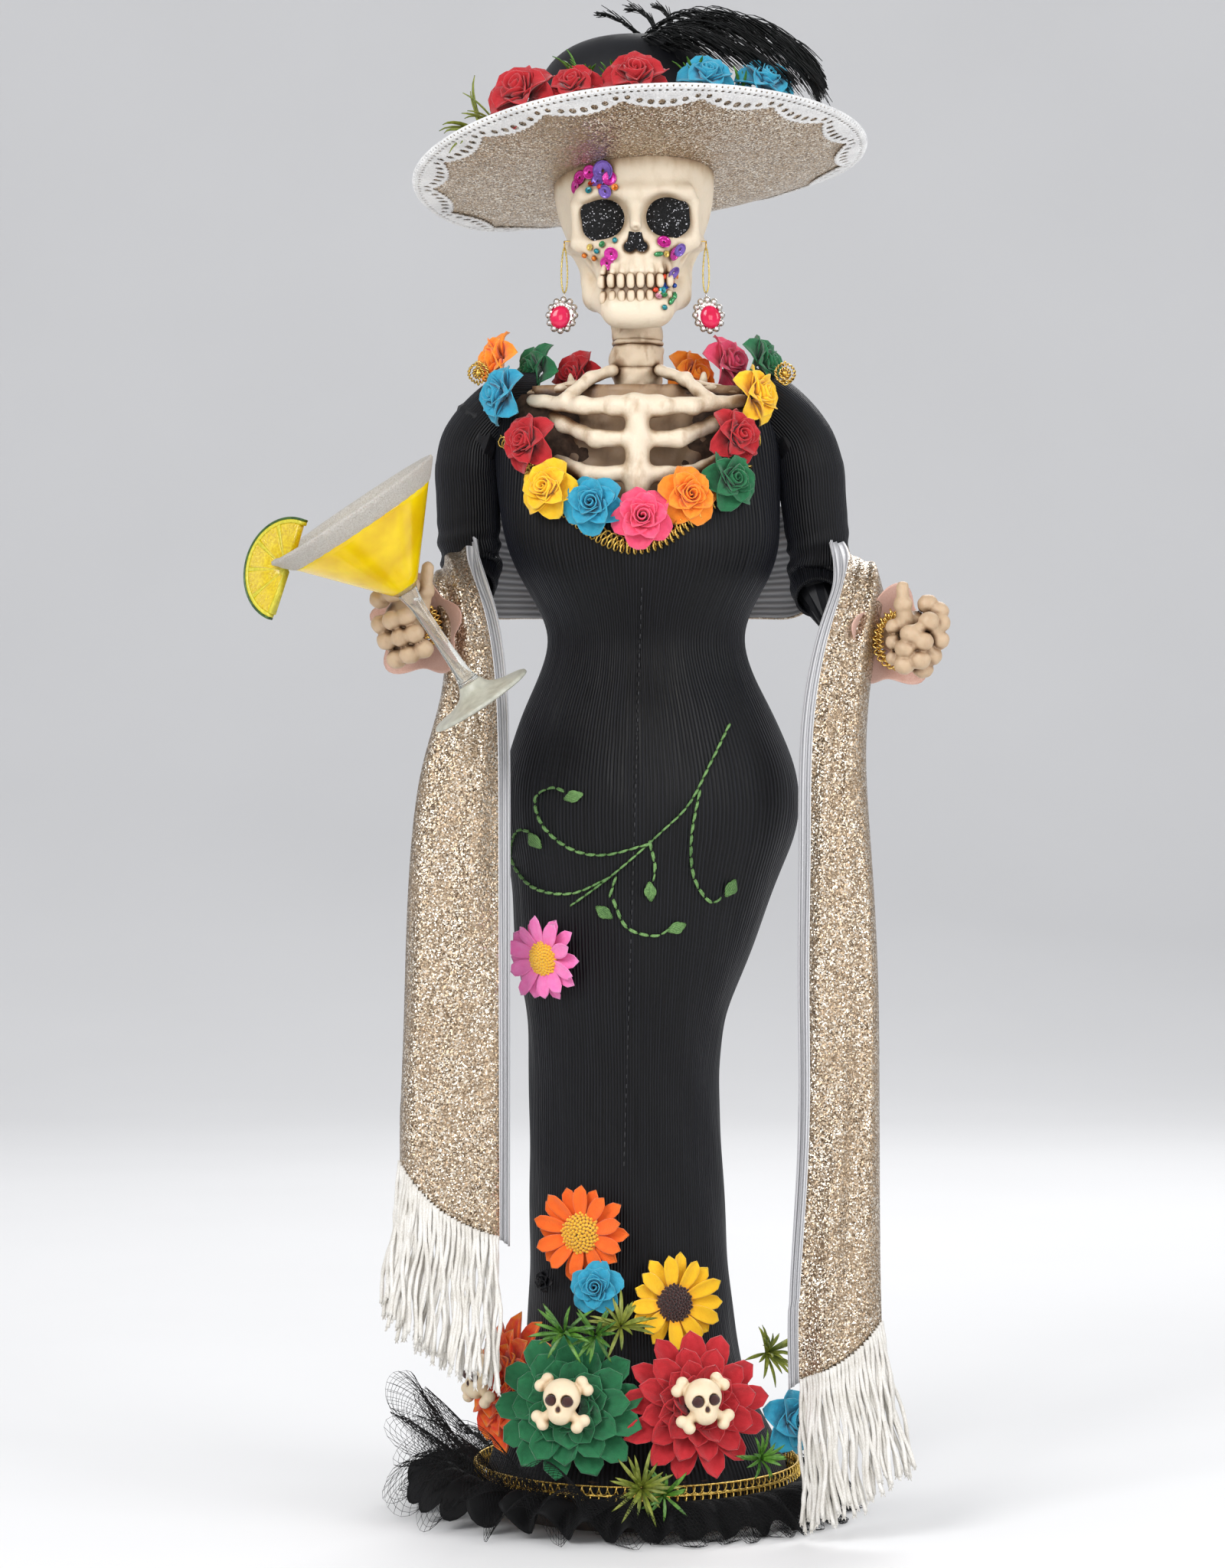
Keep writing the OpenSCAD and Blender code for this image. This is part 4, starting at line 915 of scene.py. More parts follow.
seam = Heap()
seam_line = np.array([cloth_front(0.0015 - 0.0065 * t, 0.336 - 0.211 * t, 0.0)[:]
                      for t in np.linspace(0, 1, 90)])
stitches(seam, seam_line, 0.0022, 0.0013, 0.00028)
seam.piece("front_seam", ["seam_thread"], "ribbed_cloth")

# %% [markdown]
# ## The stole
#
# One long strip of glitter cloth, lined with pleated white satin, passes behind
# the back and over both forearms. Its two edges are read from the CAD pieces as
# lines of places, a smooth curve joins them round the elbows, and the cloth is
# spread between the edges with soft folds. The lining shows along the inner edge.

# %% Edges of the stole
def fall_edges(side, count=11):
    """Outer and inner edge of a hanging end, from the hem up to the arm."""
    node = "stole_" + side
    low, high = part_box(node)
    sign = -1 if side == "right" else 1
    outer, inner = [], []
    for share in np.linspace(0.1, 0.93, count):
        z = low.z + (high.z - low.z) * share
        a, b = slice_box(node, 2, z)
        edge = (a[0], b[0]) if sign < 0 else (b[0], a[0])
        outer.append((edge[0], a[1] + 0.001, z))
        inner.append((edge[1], a[1] + 0.001, z))
    return outer, inner


def back_edges(count=7):
    """Lower and upper edge of the part behind the back, from right to left."""
    low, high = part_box("stole_back")
    lower, upper = [], []
    for x in np.linspace(low.x + 0.012, high.x - 0.012, count):
        a, b = slice_box("stole_back", 0, x)
        lower.append((x, (a[1] + b[1]) / 2, a[2]))
        upper.append((x, (a[1] + b[1]) / 2, b[2]))
    return lower, upper


def hem_depth(side):
    """Heights of the slanted hem at the outer and at the inner edge."""
    return (0.130, 0.101) if side == "right" else (0.075, 0.052)


right_outer, right_inner = fall_edges("right")
left_outer, left_inner = fall_edges("left")
back_lower, back_upper = back_edges()


def with_hem(outer, inner, side):
    z_out, z_in = hem_depth(side)
    o, i = np.array(outer[2]), np.array(inner[1])
    keep_o = [tuple(p) for p in outer if p[2] > z_out + 0.02]
    keep_i = [tuple(p) for p in inner if p[2] > z_in + 0.02]
    end_o = (keep_o[0][0], np.array(outer)[0][1], z_out)
    end_i = (keep_i[0][0], np.array(inner)[0][1], z_in)
    return [end_o] + keep_o, [end_i] + keep_i


right_outer, right_inner = with_hem(right_outer, right_inner, "right")
left_outer, left_inner = with_hem(left_outer, left_inner, "left")


def even_line(points, count):
    """Smooth line through the points, cut into equal steps."""
    line = smooth_line(points, 12)
    far = np.concatenate([[0], np.cumsum(np.linalg.norm(np.diff(line, axis=0), axis=1))])
    spots = np.linspace(0, far[-1], count)
    return np.stack([np.interp(spots, far, line[:, k]) for k in range(3)], 1), far[-1]


def stole_edge(first, middle, last):
    """One edge from hem to hem: the same step count on both edges keeps rows square."""
    spans = [even_line(first, 13)[0], even_line(middle, 9)[0], even_line(last[::-1], 13)[0]]
    line = np.array(smooth_line([tuple(p) for span in spans for p in span], 10))
    window = 17
    padded = np.concatenate([line[:1]] * (window // 2) + [line] + [line[-1:]] * (window // 2))
    calm = np.stack([np.convolve(padded[:, k], np.ones(window) / window, "valid")
                     for k in range(3)], 1)
    calm[:12], calm[-12:] = line[:12], line[-12:]
    return calm, np.linalg.norm(np.diff(calm, axis=0), axis=1).sum()


edge_out, length_out = stole_edge(right_outer, back_lower, left_outer)
edge_in, length_in = stole_edge(right_inner, back_upper, left_inner)
edge_in = edge_in + (edge_out - edge_in) / np.linalg.norm(edge_out - edge_in, axis=1)[:, None] * 0.004
stole_rows = len(edge_out)
print("stole length", round((length_out + length_in) / 2, 3))

# %% Stole cloth
stole_cols = 26
lining_cols = 8
points, uvs, shares = [], [], []
for i in range(stole_rows):
    a, b = edge_out[i], edge_in[i]
    along = edge_out[min(i + 1, stole_rows - 1)] - edge_out[max(i - 1, 0)]
    across = b - a
    width = np.linalg.norm(across)
    out = np.cross(across, along)
    out = out / max(np.linalg.norm(out), 1e-9)
    s = i / (stole_rows - 1)
    hang = min(1.0, abs(s - 0.5) * 4)
    for k in range(stole_cols + lining_cols):
        t = k / (stole_cols - 1)
        fold = 0.0011 * math.sin(t * 8 + 9 * s) + 0.0007 * math.sin(t * 15 - 23 * s + 1.3)
        bulge = 0.004 * math.sin(math.pi * min(t, 1)) * hang
        turn_back = -0.005 * max(0, 1 - t / 0.16) ** 2 * hang
        if t <= 1:
            p = a + across * t + out * (fold + bulge + turn_back)
        else:
            extra = (k - stole_cols + 1) / lining_cols
            roll = 0.0046 * extra
            p = (b + across / max(width, 1e-6) * roll
                 + out * (fold - 0.0016 + 0.0008 * math.sin(extra * TAU * 2.5)))
        far_end = min(i, stole_rows - 1 - i) / 16
        if far_end < 1:
            cut = 0.006 if s < 0.5 else 0.004
            p[2] -= cut * math.sin(math.pi * min(t, 1) ** 0.8) * (1 - far_end)
        points.append(p)
        uvs.append((t, s * 20))
stole_wide = stole_cols + lining_cols
stole_faces = grid_faces(stole_rows, stole_wide)
stole = new_piece("stole", points, stole_faces)
set_uv(stole, uvs)
for finish in ("champagne_glitter", "white_satin", "white_satin"):
    stole.data.materials.append(finishes[finish])
stole.data.polygons.foreach_set("material_index",
                                [1 if (f[0] % stole_wide) >= stole_cols - 1 else 0
                                 for f in stole_faces])
thicken(stole, 0.0009).modifiers["thickness"].material_offset = 1
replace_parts(stole, "stole_right", "stole_left", "stole_back")

# %% [markdown]
# ## The skull
#
# The skull is cast in one piece, with rounded forms that run into each other.
# Balls and rods are melted together for brow, cheeks and jaw, and others are
# carved out for the sockets, temples and the slots beside the jaw. Working in
# millimetres from the chin keeps the numbers easy to picture.

# %% Skull skin
chin_place = (0.3, 0.0, 431.0)
head_roll = math.radians(-1.5)
hat_cut = 64.0
sides = (-1, 1)


def from_head(points):
    """Turns millimetres from the chin into metres in the frame."""
    p = np.asarray(points, float)
    c, s = math.cos(head_roll), math.sin(head_roll)
    x, z = p[:, 0] * c + p[:, 2] * s, p[:, 2] * c - p[:, 0] * s
    return (np.stack([x, p[:, 1], z], 1) + chin_place) * MM


def skull_field(x, y, z):
    f = ball(x, y, z, (0, 4.5, 57), (29.6, 30.5, 40))
    f = melt(f, ball(x, y, z, (0, -6, 34), (21.5, 18, 16)), 5)
    f = melt(f, ball(x, y, z, (0, -11.5, 20), (14.5, 13, 11)), 4)
    for s in sides:
        f = melt(f, rod(x, y, z, (s * 2, -24.5, 48), (s * 19, -19.5, 48.5), 3.2, 3.0), 3)
        f = melt(f, rod(x, y, z, (s * 8, -20.5, 27.5), (s * 20, -12.5, 31.5), 3.6, 3.2), 3)
        f = melt(f, rod(x, y, z, (s * 20, -12, 31.5), (s * 24, 3, 32.5), 2.6, 2.4), 2)
        f = melt(f, rod(x, y, z, (s * 20.5, -14, 33), (s * 21.5, -17, 45), 2.6, 2.4), 3)
        f = melt(f, rod(x, y, z, (s * 8, -18, 7.5), (s * 14.5, -5, 13.5), 5.2, 4.6), 3)
        f = melt(f, rod(x, y, z, (s * 14.8, -4.5, 13), (s * 19, 2, 29), 4.6, 3.4), 3)
    f = melt(f, rod(x, y, z, (-6, -18.5, 5.8), (6, -18.5, 5.8), 5.6), 4)
    f = melt(f, ball(x, y, z, (0, -19.5, 6.5), (7, 5, 5.6)), 3)
    f = melt(f, rod(x, y, z, (0, -23, 43), (0, -26.5, 36.5), 2.9, 2.2), 2.5)
    f = melt(f, ball(x, y, z, (0, -18, 13), (13, 5.4, 7)), 2)
    for s in sides:
        f = carve(f, ball(x, y, z, (s * 11.4, -25.5, 39.7), (8.9, 10, 8.4)), 2.2)
        f = carve(f, ball(x, y, z, (s * 31.5, -10, 42), (7, 11, 9)), 4)
        f = carve(f, ball(x, y, z, (s * 24.5, -8, 24), (5.6, 9, 5)), 3)
        f = carve(f, rod(x, y, z, (s * 18.6, -15, 13), (s * 18.4, -11, 26), 1.6, 2.4), 1.4)
        f = carve(f, ball(x, y, z, (s * 2.3, -27, 28.6), (2.9, 5.4, 3)), 0.8)
    f = carve(f, rod(x, y, z, (0, -28, 29.5), (0, -27.5, 35.0), 3.4, 0.8), 0.8)
    f = carve(f, rod(x, y, z, (-14, -27, 13.2), (14, -27, 13.2), 3.4), 1.2)
    for k in range(-4, 4):
        root = (k + 0.5) * 3.5
        front = -25.3 + root * root / 46
        f = melt(f, rod(x, y, z, (root, front + 1, 20), (root * 0.9, front + 2.6, 25), 1.3, 0.6), 1)
        f = carve(f, rod(x, y, z, (root + 1.75, front - 0.7, 17.5),
                         (root * 0.95 + 1.7, front + 0.4, 24), 0.65, 0.2), 0.5)
        f = melt(f, rod(x, y, z, (root, front + 2, 9), (root * 0.95, front + 3, 5), 1.2, 0.6), 1)
    return np.maximum(f, z + 0.15 * y - hat_cut)


skull_points, skull_faces = net_skin(skull_field, (-33, -32, -3), (33, 38, 68), 0.62)
skull = new_piece("skull_bone", from_head(skull_points), skull_faces)
wear(skull, "bone_cream")
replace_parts(skull, "skull")
skull_tree = BVHTree.FromPolygons([Vector(p) for p in skull_points], skull_faces)


def face_at(x, z):
    """Place and outward direction on the face, in millimetres from the chin."""
    hit, normal, _, _ = skull_tree.ray_cast(Vector((x, -60, z)), Vector((0, 1, 0)))
    return hit, (normal if normal.y < 0 else -normal)


print("skull faces", len(skull_faces))

# %% [markdown]
# ### Teeth, glitter patches and foil
#
# Each tooth is a small rounded block of its own, so the gaps between them are
# real. The eyes and nose are filled with black glitter. The foil sequins and
# glass beads are glued on by hand in three loose clusters.

# %% Small solids that repeat
def bead(heap, centre, radii, turn=None, finish=0, rows=6, cols=8, square=1.0):
    """A closed rounded solid; square under 1 makes it boxier."""
    def bent(value):
        return math.copysign(abs(value) ** square, value)

    points = []
    for i in range(rows + 1):
        a = math.pi * i / rows
        for k in range(cols):
            b = TAU * k / cols
            p = Vector((bent(math.sin(a)) * bent(math.cos(b)) * radii[0],
                        bent(math.sin(a)) * bent(math.sin(b)) * radii[1],
                        bent(math.cos(a)) * radii[2]))
            points.append(Vector(centre) + (turn @ p if turn else p))
    heap.add(points, grid_faces(rows + 1, cols, wrap=True)
             + [tuple(range(cols))[::-1], tuple(rows * cols + k for k in range(cols))],
             finish=finish)


def head_heap(heap):
    """Moves a heap that was built from the chin into the frame."""
    heap.points = [tuple(p) for p in from_head(heap.points)]
    return heap


dice = random.Random(11)
teeth = Heap()
for k in range(-4, 4):
    across = (k + 0.5) * 3.5
    front = -25.2 + across * across / 46
    lean = Matrix.Rotation(math.atan(2 * across / 46), 3, "Z")
    tall = 3.0 - 0.04 * abs(across)
    bead(teeth, (across - 0.6, front + 0.8, 16.6 + dice.uniform(-0.2, 0.2)),
         (1.6 + dice.uniform(-0.1, 0.08), 1.7, tall), lean, 0, 10, 14, 0.8)
    bead(teeth, (across * 0.96 - 0.6, front + 1.5, 10.9), (1.52, 1.5, 2.5), lean, 0, 10, 14, 0.8)
head_heap(teeth).piece("teeth", ["tooth_cream"], "bone_cream")

# %% Glitter patches
def patch(heap, x, z, depth, outline, dome=1.4, rings=9, around=40):
    """A domed patch whose edge follows outline(angle)."""
    points = []
    for i in range(rings + 1):
        share = i / rings
        for k in range(around):
            a = TAU * k / around
            r = outline(a) * share
            points.append((x + r * math.cos(a), depth - dome * (1 - share ** 2) - 0.3 * (1 - share),
                           z + r * math.sin(a)))
    heap.add(points, grid_faces(rings + 1, around, wrap=True) + [tuple(range(around))])


def eye_outline(seed):
    def radius(a):
        box = (abs(math.cos(a)) ** 2.6 + abs(math.sin(a)) ** 2.6) ** (-1 / 2.6)
        return 8.3 * box * (1 + 0.025 * math.sin(3 * a + seed) + 0.02 * math.sin(7 * a + 2 * seed))
    return radius


def nose_outline(a):
    """An upside-down heart: wide and notched below, pointed above."""
    up = math.sin(a)
    side = abs(math.cos(a))
    return 3.0 + 3.0 * max(0, up) ** 5 + (3.2 * max(0, -up) ** 0.6) * side - 0.5 * max(0, -up) ** 8


patches = Heap()
patch(patches, -11.4, 39.6, -19.8, eye_outline(0.4))
patch(patches, 11.4, 39.9, -19.8, eye_outline(2.3))
patch(patches, -0.2, 30.6, -24.2, nose_outline, 0.5)
fill = head_heap(patches).piece("glitter_fill", ["black_glitter"], "black_glitter",
                                replaces=["glitter_patches"])

# %% Foil and beads on the face
foil_names = sorted(foils)
foil_spots = {
    "magenta": [(-19.5, 55), (-16, 56.5), (-21, 52), (-9, 26.5), (-10.5, 23.5), (10, 30),
                (13.5, 26.5), (-9, 53.5)],
    "violet": [(-13, 53), (-10.5, 49), (15.5, 28), (13, 19.5)],
    "teal": [(-16.5, 49.5), (-7.5, 31), (-14, 28), (9, 13), (9.5, 6.5)],
    "coral": [(-15.5, 52), (-12.5, 50.5), (9.5, 18), (12.5, 16.5), (6.5, 13)],
    "amber": [(-7, 50), (-18.5, 27.5), (-15, 26), (14, 19)],
    "leaf": [(-12, 30), (8, 26), (12, 9), (9.5, 11), (13, 11)],
    "blue": [(10, 14.5), (13, 15)], "rose": [(7.5, 10.5)], "gold": [(-16.5, 29.5), (10.5, 26)]}


def sequin(heap, x, z, r, finish, cup=0.35, spin=0.0):
    """A thin cupped disc with a hole, laid on the face with its edge lifted."""
    hit, normal = face_at(x, z)
    turn = turned(normal, spin) @ Matrix.Rotation(0.18, 3, "X")
    points, around = [], 18
    for share, high in ((0.16, 0.5), (0.55, 0.55), (0.85, 0.7), (1.0, 1.0), (1.0, 0.8), (0.16, 0.3)):
        for k in range(around):
            a = TAU * k / around
            points.append(hit + turn @ Vector((r * share * math.cos(a), r * share * math.sin(a),
                                               0.45 + cup * high)))
    heap.add(points, grid_faces(6, around, wrap=True)
             + [(5 * around + k, 5 * around + (k + 1) % around, (k + 1) % around, k)
                for k in range(around)], finish=finish)


sequins, beads = Heap(), Heap()
for foil in foil_names:
    for n, (x, z) in enumerate(foil_spots.get(foil, [])):
        finish = foil_names.index(foil)
        big = 2.6 if foil in ("magenta", "violet") else 1.25
        if foil in ("magenta", "violet", "gold") or n % 3 == 0:
            sequin(sequins, x, z, big, finish, spin=dice.uniform(0, TAU))
        else:
            hit, normal = face_at(x, z)
            turn = turned(normal, dice.uniform(0, TAU))
            long = 1.9 if foil == "leaf" else 1.15
            bead(beads, hit + normal * 0.7, (long, 1.0, 0.9), turn, finish, 6, 10)
hit, normal = face_at(-11, 56.5)
sequin(sequins, -11, 56.5, 3.9, foil_names.index("violet"), 0.7)
foil_finishes = ["foil_" + foil for foil in foil_names]
head_heap(sequins).piece("foil_sequins", foil_finishes, "sequin", replaces=["face_sequins"])
head_heap(beads).piece("glass_beads", foil_finishes, "bead", replaces=["face_beads"])

# %% [markdown]
# ## Paper flowers
#
# Every flower is made of petals, and every petal is a small sheet that grows
# outwards from a ring: its spine starts at some slope and curls over, and its
# sides cup upwards. Changing five numbers turns one petal into a rose, a daisy
# or the spoon petals of the big hem flowers. The whole flower is then stood on
# its place in the frame.

# %% Petals
def petal(heap, angle, start, length, width, rise, cup=0.3, curl=0.6, blunt=2.0, finish=0,
          lift=0.0, furl=0.0, columns=6, steps=7):
    """One petal; angles in radians and sizes in metres. Adds to a heap."""
    x, z, slope = start, lift, rise
    points, uv = [], []
    c, s = math.cos(angle), math.sin(angle)
    for i in range(steps + 1):
        v = i / steps
        grow = 0.3 + 0.7 * math.sin(math.pi / 2 * min(1.0, v / 0.6))
        half = width / 2 * grow * (1 - max(0.0, (v - 0.5) / 0.5) ** blunt) ** 0.6
        for k in range(columns + 1):
            u = 2 * k / columns - 1
            up = cup * half * (u * u) + furl * half * u
            ridge = -0.06 * half * math.cos(u * 9)
            px = x - math.sin(slope) * (up + ridge)
            pz = z + math.cos(slope) * (up + ridge)
            py = half * u
            points.append((px * c - py * s, px * s + py * c, pz))
            uv.append((k / columns, v))
        slope = rise - curl * v * v * 1.6
        x += math.cos(slope) * length / steps
        z += math.sin(slope) * length / steps
    heap.add(points, grid_faces(steps + 1, columns + 1), uv, finish)


def stand(heap, start, spot, direction, spin=0.0, size=1.0):
    """Turns the points added since start to face a direction at a spot."""
    turn = turned(direction, spin)
    spot = Vector(spot)
    for i in range(start, len(heap.points)):
        heap.points[i] = tuple(spot + turn @ (Vector(heap.points[i]) * size))


def rose(heap, spot, direction, finish=0, size=0.0115, spin=0.0):
    """Paper rose: open outer petals, cupped middle ones and a rolled bud."""
    start = len(heap.points)
    for n in range(5):
        petal(heap, TAU * n / 5 + dice.uniform(-0.12, 0.12), 0.12, 1.0, 1.02, 0.42, 0.35, 1.15,
              1.15, finish, 0.0, dice.uniform(-0.2, 0.2))
    for n in range(5):
        petal(heap, TAU * (n + 0.5) / 5 + dice.uniform(-0.1, 0.1), 0.12, 0.82, 0.86, 0.85, 0.5,
              1.0, 1.3, finish, 0.1, dice.uniform(-0.2, 0.25))
    for n in range(4):
        petal(heap, TAU * n / 4 + dice.uniform(-0.1, 0.1), 0.14, 0.58, 0.62, 1.2, 0.75, 0.8,
              1.6, finish, 0.16, 0.3)
    rolled, steps = [], 26
    for i in range(steps):
        share = i / (steps - 1)
        a, r = share * 2.3 * TAU, 0.30 - 0.25 * share
        for high, wide in ((0.0, 0.8), (0.35, 1.0), (0.62 + 0.06 * math.sin(a * 1.3), 1.12)):
            rolled.append((r * wide * math.cos(a), r * wide * math.sin(a), 0.12 + high))
    heap.add(rolled, grid_faces(steps, 3), [(i // 3 / steps, 0.3 + 0.3 * (i % 3))
                                            for i in range(3 * steps)], finish)
    stand(heap, start, spot, direction, spin, size)


def pollen(heap, spot, direction, radius, dome, grains, finish, grain=0.0009):
    """A dome of grains laid along a sunflower spiral."""
    start = len(heap.points)
    golden = math.pi * (3 - math.sqrt(5))
    for n in range(grains):
        share = math.sqrt((n + 0.5) / grains)
        a = n * golden
        bead(heap, (radius * share * math.cos(a), radius * share * math.sin(a),
                    dome * (1 - share ** 2)), (grain, grain, grain * 1.5), None, finish, 4, 6)
    stand(heap, start, spot, direction)


print("flower tools ready")

# %% [markdown]
# ### Neckline roses
#
# Their places and the way they face come from the maker's cones, one island per
# rose. Real ones are a little wider than the cone, because thin petal tips
# reach past it.

# %% Neckline roses
for tone in ("red", "blue", "yellow", "orange", "green", "pink"):
    flowers = Heap()
    for part in islands("roses_" + tone):
        centre, direction, depth = facing(part)
        if direction.z < 0 and abs(direction.z) > 0.5:
            direction = -direction
        rose(flowers, centre - direction * 0.004, direction, 0, 0.0112,
             dice.uniform(0, TAU))
    thicken(flowers.piece("paper_roses_" + tone, [tone + "_petal"], tone + "_petal",
                          replaces=["roses_" + tone]), 0.0003, 0)

# %% [markdown]
# ### Daisies and sunflower
#
# Dyed cloth petals with a groove, in two layers, round a furry centre.

# %% Daisies and sunflower
def daisy(name, node, finish, centre_finish, reach, count, eye, slot, dark_ring=None):
    low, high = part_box(node)
    centre = (low + high) / 2
    direction = cloth_normal(centre)
    spot = cloth_at(math.atan2(centre.y, centre.x), centre.z) + direction * 0.0016
    heap = Heap()
    for layer in range(2):
        for n in range(count):
            start = len(heap.points)
            petal(heap, TAU * (n + 0.5 * layer) / count + dice.uniform(-0.07, 0.07), eye * 0.6,
                  reach - eye * 0.6 + dice.uniform(-0.0016, 0.0008), 0.0054,
                  0.10 + 0.16 * layer + dice.uniform(-0.08, 0.12), 0.3, dice.uniform(-0.1, 0.35),
                  3.4, 0, 0.0008 + 0.001 * layer, dice.uniform(-0.25, 0.25))
            stand(heap, start, spot, direction)
    flower = heap.piece(name, [finish], slot, replaces=[node])
    thicken(flower, 0.00035, 0)
    middle_heap = Heap()
    pollen(middle_heap, spot + direction * 0.0022, direction, eye, 0.0022, 110, 0, 0.00075)
    middle_heap.piece(name + "_centre", [centre_finish], slot)


daisy("pink_daisy", "daisy_pink", "pink_daisy", "pollen_yellow", 0.0162, 10, 0.0062, "pink_petal")
daisy("orange_daisy", "daisy_orange", "orange_daisy", "pollen_yellow", 0.0178, 10, 0.0074,
      "orange_petal")
daisy("sunflower", "sunflower", "sunflower_petal", "seed_brown", 0.0182, 9, 0.0068,
      "yellow_petal")

# %% [markdown]
# ### The three big hem flowers
#
# Four layers of spoon petals, each layer shorter and steeper than the one below.

# %% Big hem flowers
def big_flower(name, node, finish, slot, reach, count, hint, width=0.0085, layers=4,
               blunt=2.6):
    centre, direction, depth = facing(np.concatenate(islands(node)), hint)
    base = centre - direction * (depth / 2 - 0.001)
    heap = Heap()
    for layer in range(layers):
        start = len(heap.points)
        long = reach * (1 - 0.19 * layer)
        for n in range(count - layer):
            petal(heap, TAU * (n + 0.5 * (layer % 2)) / (count - layer) + dice.uniform(-0.06, 0.06),
                  0.004, long - 0.004 + dice.uniform(-0.0012, 0.001), width,
                  0.18 + 0.22 * layer + dice.uniform(-0.06, 0.06), 0.5, 0.25, blunt, 0,
                  0.0012 * layer, dice.uniform(-0.35, 0.35), 6, 8)
        stand(heap, start, base, direction, dice.uniform(0, 1))
    thicken(heap.piece(name, [finish], slot, replaces=[node]), 0.0004, 0)
    return base, direction


green_spot = big_flower("green_mum", "mum_green", "green_petal", "green_petal", 0.0272, 13,
                        (-0.25, -1, 0.25), 0.0098, 4, 4.5)
red_spot = big_flower("red_mum", "mum_red", "red_petal", "red_petal", 0.0272, 13, (0.25, -1, 0.25),
                      0.0092, 4, 3.0)
fire_spot = big_flower("flame_flower", "fire_flower", "flame_petal", "flame_petal", 0.0255, 12,
                       (-1, -0.6, 0.25), 0.0115, 4, 2.2)

# %% Small hem roses
hem = Heap()
for part in islands("hem_roses"):
    centre, direction, depth = facing(part, (0, -1, 0))
    wide = np.ptp(part, axis=0).max()
    if wide < 0.012:
        rose(hem, centre, direction, 1, 0.0042)
    else:
        rose(hem, centre - direction * 0.003, direction, 0, 0.0115 if centre.x > 0 else 0.0098,
             dice.uniform(0, TAU))
thicken(hem.piece("hem_paper_roses", ["blue_petal", "black_satin"], "blue_petal",
                  replaces=["hem_roses"]), 0.0003, 0)

# %% [markdown]
# ## The hat
#
# The brim is a shallow dish that turns up most at the back. Its height is a
# formula of radius and angle, so the lace, the flowers and the glitter cloth
# can all ask it where they belong. Millimetres from the crown's foot are used
# here too, and one matrix carries them to the tilted hat.

# %% Brim
hat_matrix = (Matrix.Translation((1.5, 2, 488)) @ Matrix.Rotation(math.radians(-4.5), 4, "Y")
              @ Matrix.Rotation(math.radians(-8.5), 4, "X"))
brim_flat = 49.0
brim_thick = 2.0


def from_hat(points):
    return [tuple(hat_matrix @ Vector(p) * MM) for p in points]


def hat_heap(heap):
    heap.points = from_hat(heap.points)
    return heap


def rim_at(a):
    """Radius and rise of the rim at an angle; the back is at a quarter turn."""
    back = math.sin(a)
    rise = 5.4 + (9.0 * back ** 2 if back > 0 else 1.6 * back ** 2) + 0.5 * math.sin(3 * a + 0.8)
    rise -= 7.5 * math.exp(-((a % TAU - 2.35) / 0.55) ** 2)
    return 83.0 - 4.0 * max(0, back) ** 2, rise


def brim_at(a, r, up=0.0):
    """Point on the brim's underside, or up above it."""
    rim, rise = rim_at(a)
    share = max(0.0, (r - brim_flat) / (rim - brim_flat))
    slope = 1.6 * rise / (rim - brim_flat) * share ** 0.6
    lean = math.atan(slope)
    r2 = r - math.sin(lean) * up
    return Vector((r2 * math.cos(a), r2 * math.sin(a), rise * share ** 1.6 + math.cos(lean) * up))


brim_cols = 144
points = []
for above in (False, True):
    for i in range(16):
        for k in range(brim_cols):
            a = TAU * k / brim_cols
            rim = rim_at(a)[0]
            t = 1 - i / 15 if above else i / 15
            r = 25 + (rim - 25) * t - (0.5 if t == 1 else 0)
            dent = 0.25 * math.sin(5 * a + 9 * t) * t
            points.append(brim_at(a, r, (brim_thick if above else 0) + dent))
brim = new_piece("hat_brim_cloth", from_hat(points), grid_faces(32, brim_cols, wrap=True)
                 + [(31 * brim_cols + k, 31 * brim_cols + (k + 1) % brim_cols,
                     (k + 1) % brim_cols, k) for k in range(brim_cols)])
smooth_more(brim, 1)
wear(brim, "champagne_glitter")
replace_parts(brim, "hat_brim")

# %% [markdown]
# ### Crochet lace
#
# One scallop is drawn flat as a distance field: a solid band, seven round holes
# along its curved edge and a row of tiny ones near the rim. The skin of that
# field is one tile, which is bent round the rim seventeen times.

# %% Lace
def weld(piece, distance):
    """Joins points that lie on each other, so tiles become one skin."""
    shape = bmesh.new()
    shape.from_mesh(piece.data)
    bmesh.ops.remove_doubles(shape, verts=shape.verts, dist=distance)
    shape.to_mesh(piece.data)
    shape.free()


scallops = 17
tile = TAU * 83.0 / scallops


def lace_depth(s):
    """Width of the lace along one scallop."""
    return 6.4 + 5.2 * np.abs(np.sin(np.pi * s / tile)) ** 0.8


def lace_field(s, w, t):
    edge_wave = 0.35 * np.cos(TAU * s / tile * 12)
    sheet = np.maximum(w - lace_depth(s) - edge_wave, -1.1 - w)
    for n in range(7):
        hole_s = tile * (n + 0.5) / 7
        hole_w = float(lace_depth(hole_s)) - 3.0
        wide = 1.42 - 0.12 * abs(n - 3)
        sheet = np.maximum(sheet, wide - np.hypot(s - hole_s, (w - hole_w) * 0.85))
    for n in range(12):
        sheet = np.maximum(sheet, 0.62 - np.hypot(s - tile * (n + 0.5) / 12, (w - 2.0) * 1.3))
    for n in range(14):
        sheet = np.maximum(sheet, 0.4 - np.hypot(s - tile * (n + 0.5) / 14, w + 0.1))
    yarn = 0.1 * np.sin(TAU * s / tile * 21) * np.sin(w * 3.6)
    return np.maximum(sheet * 0.7, np.abs(t) - 0.32 - yarn)


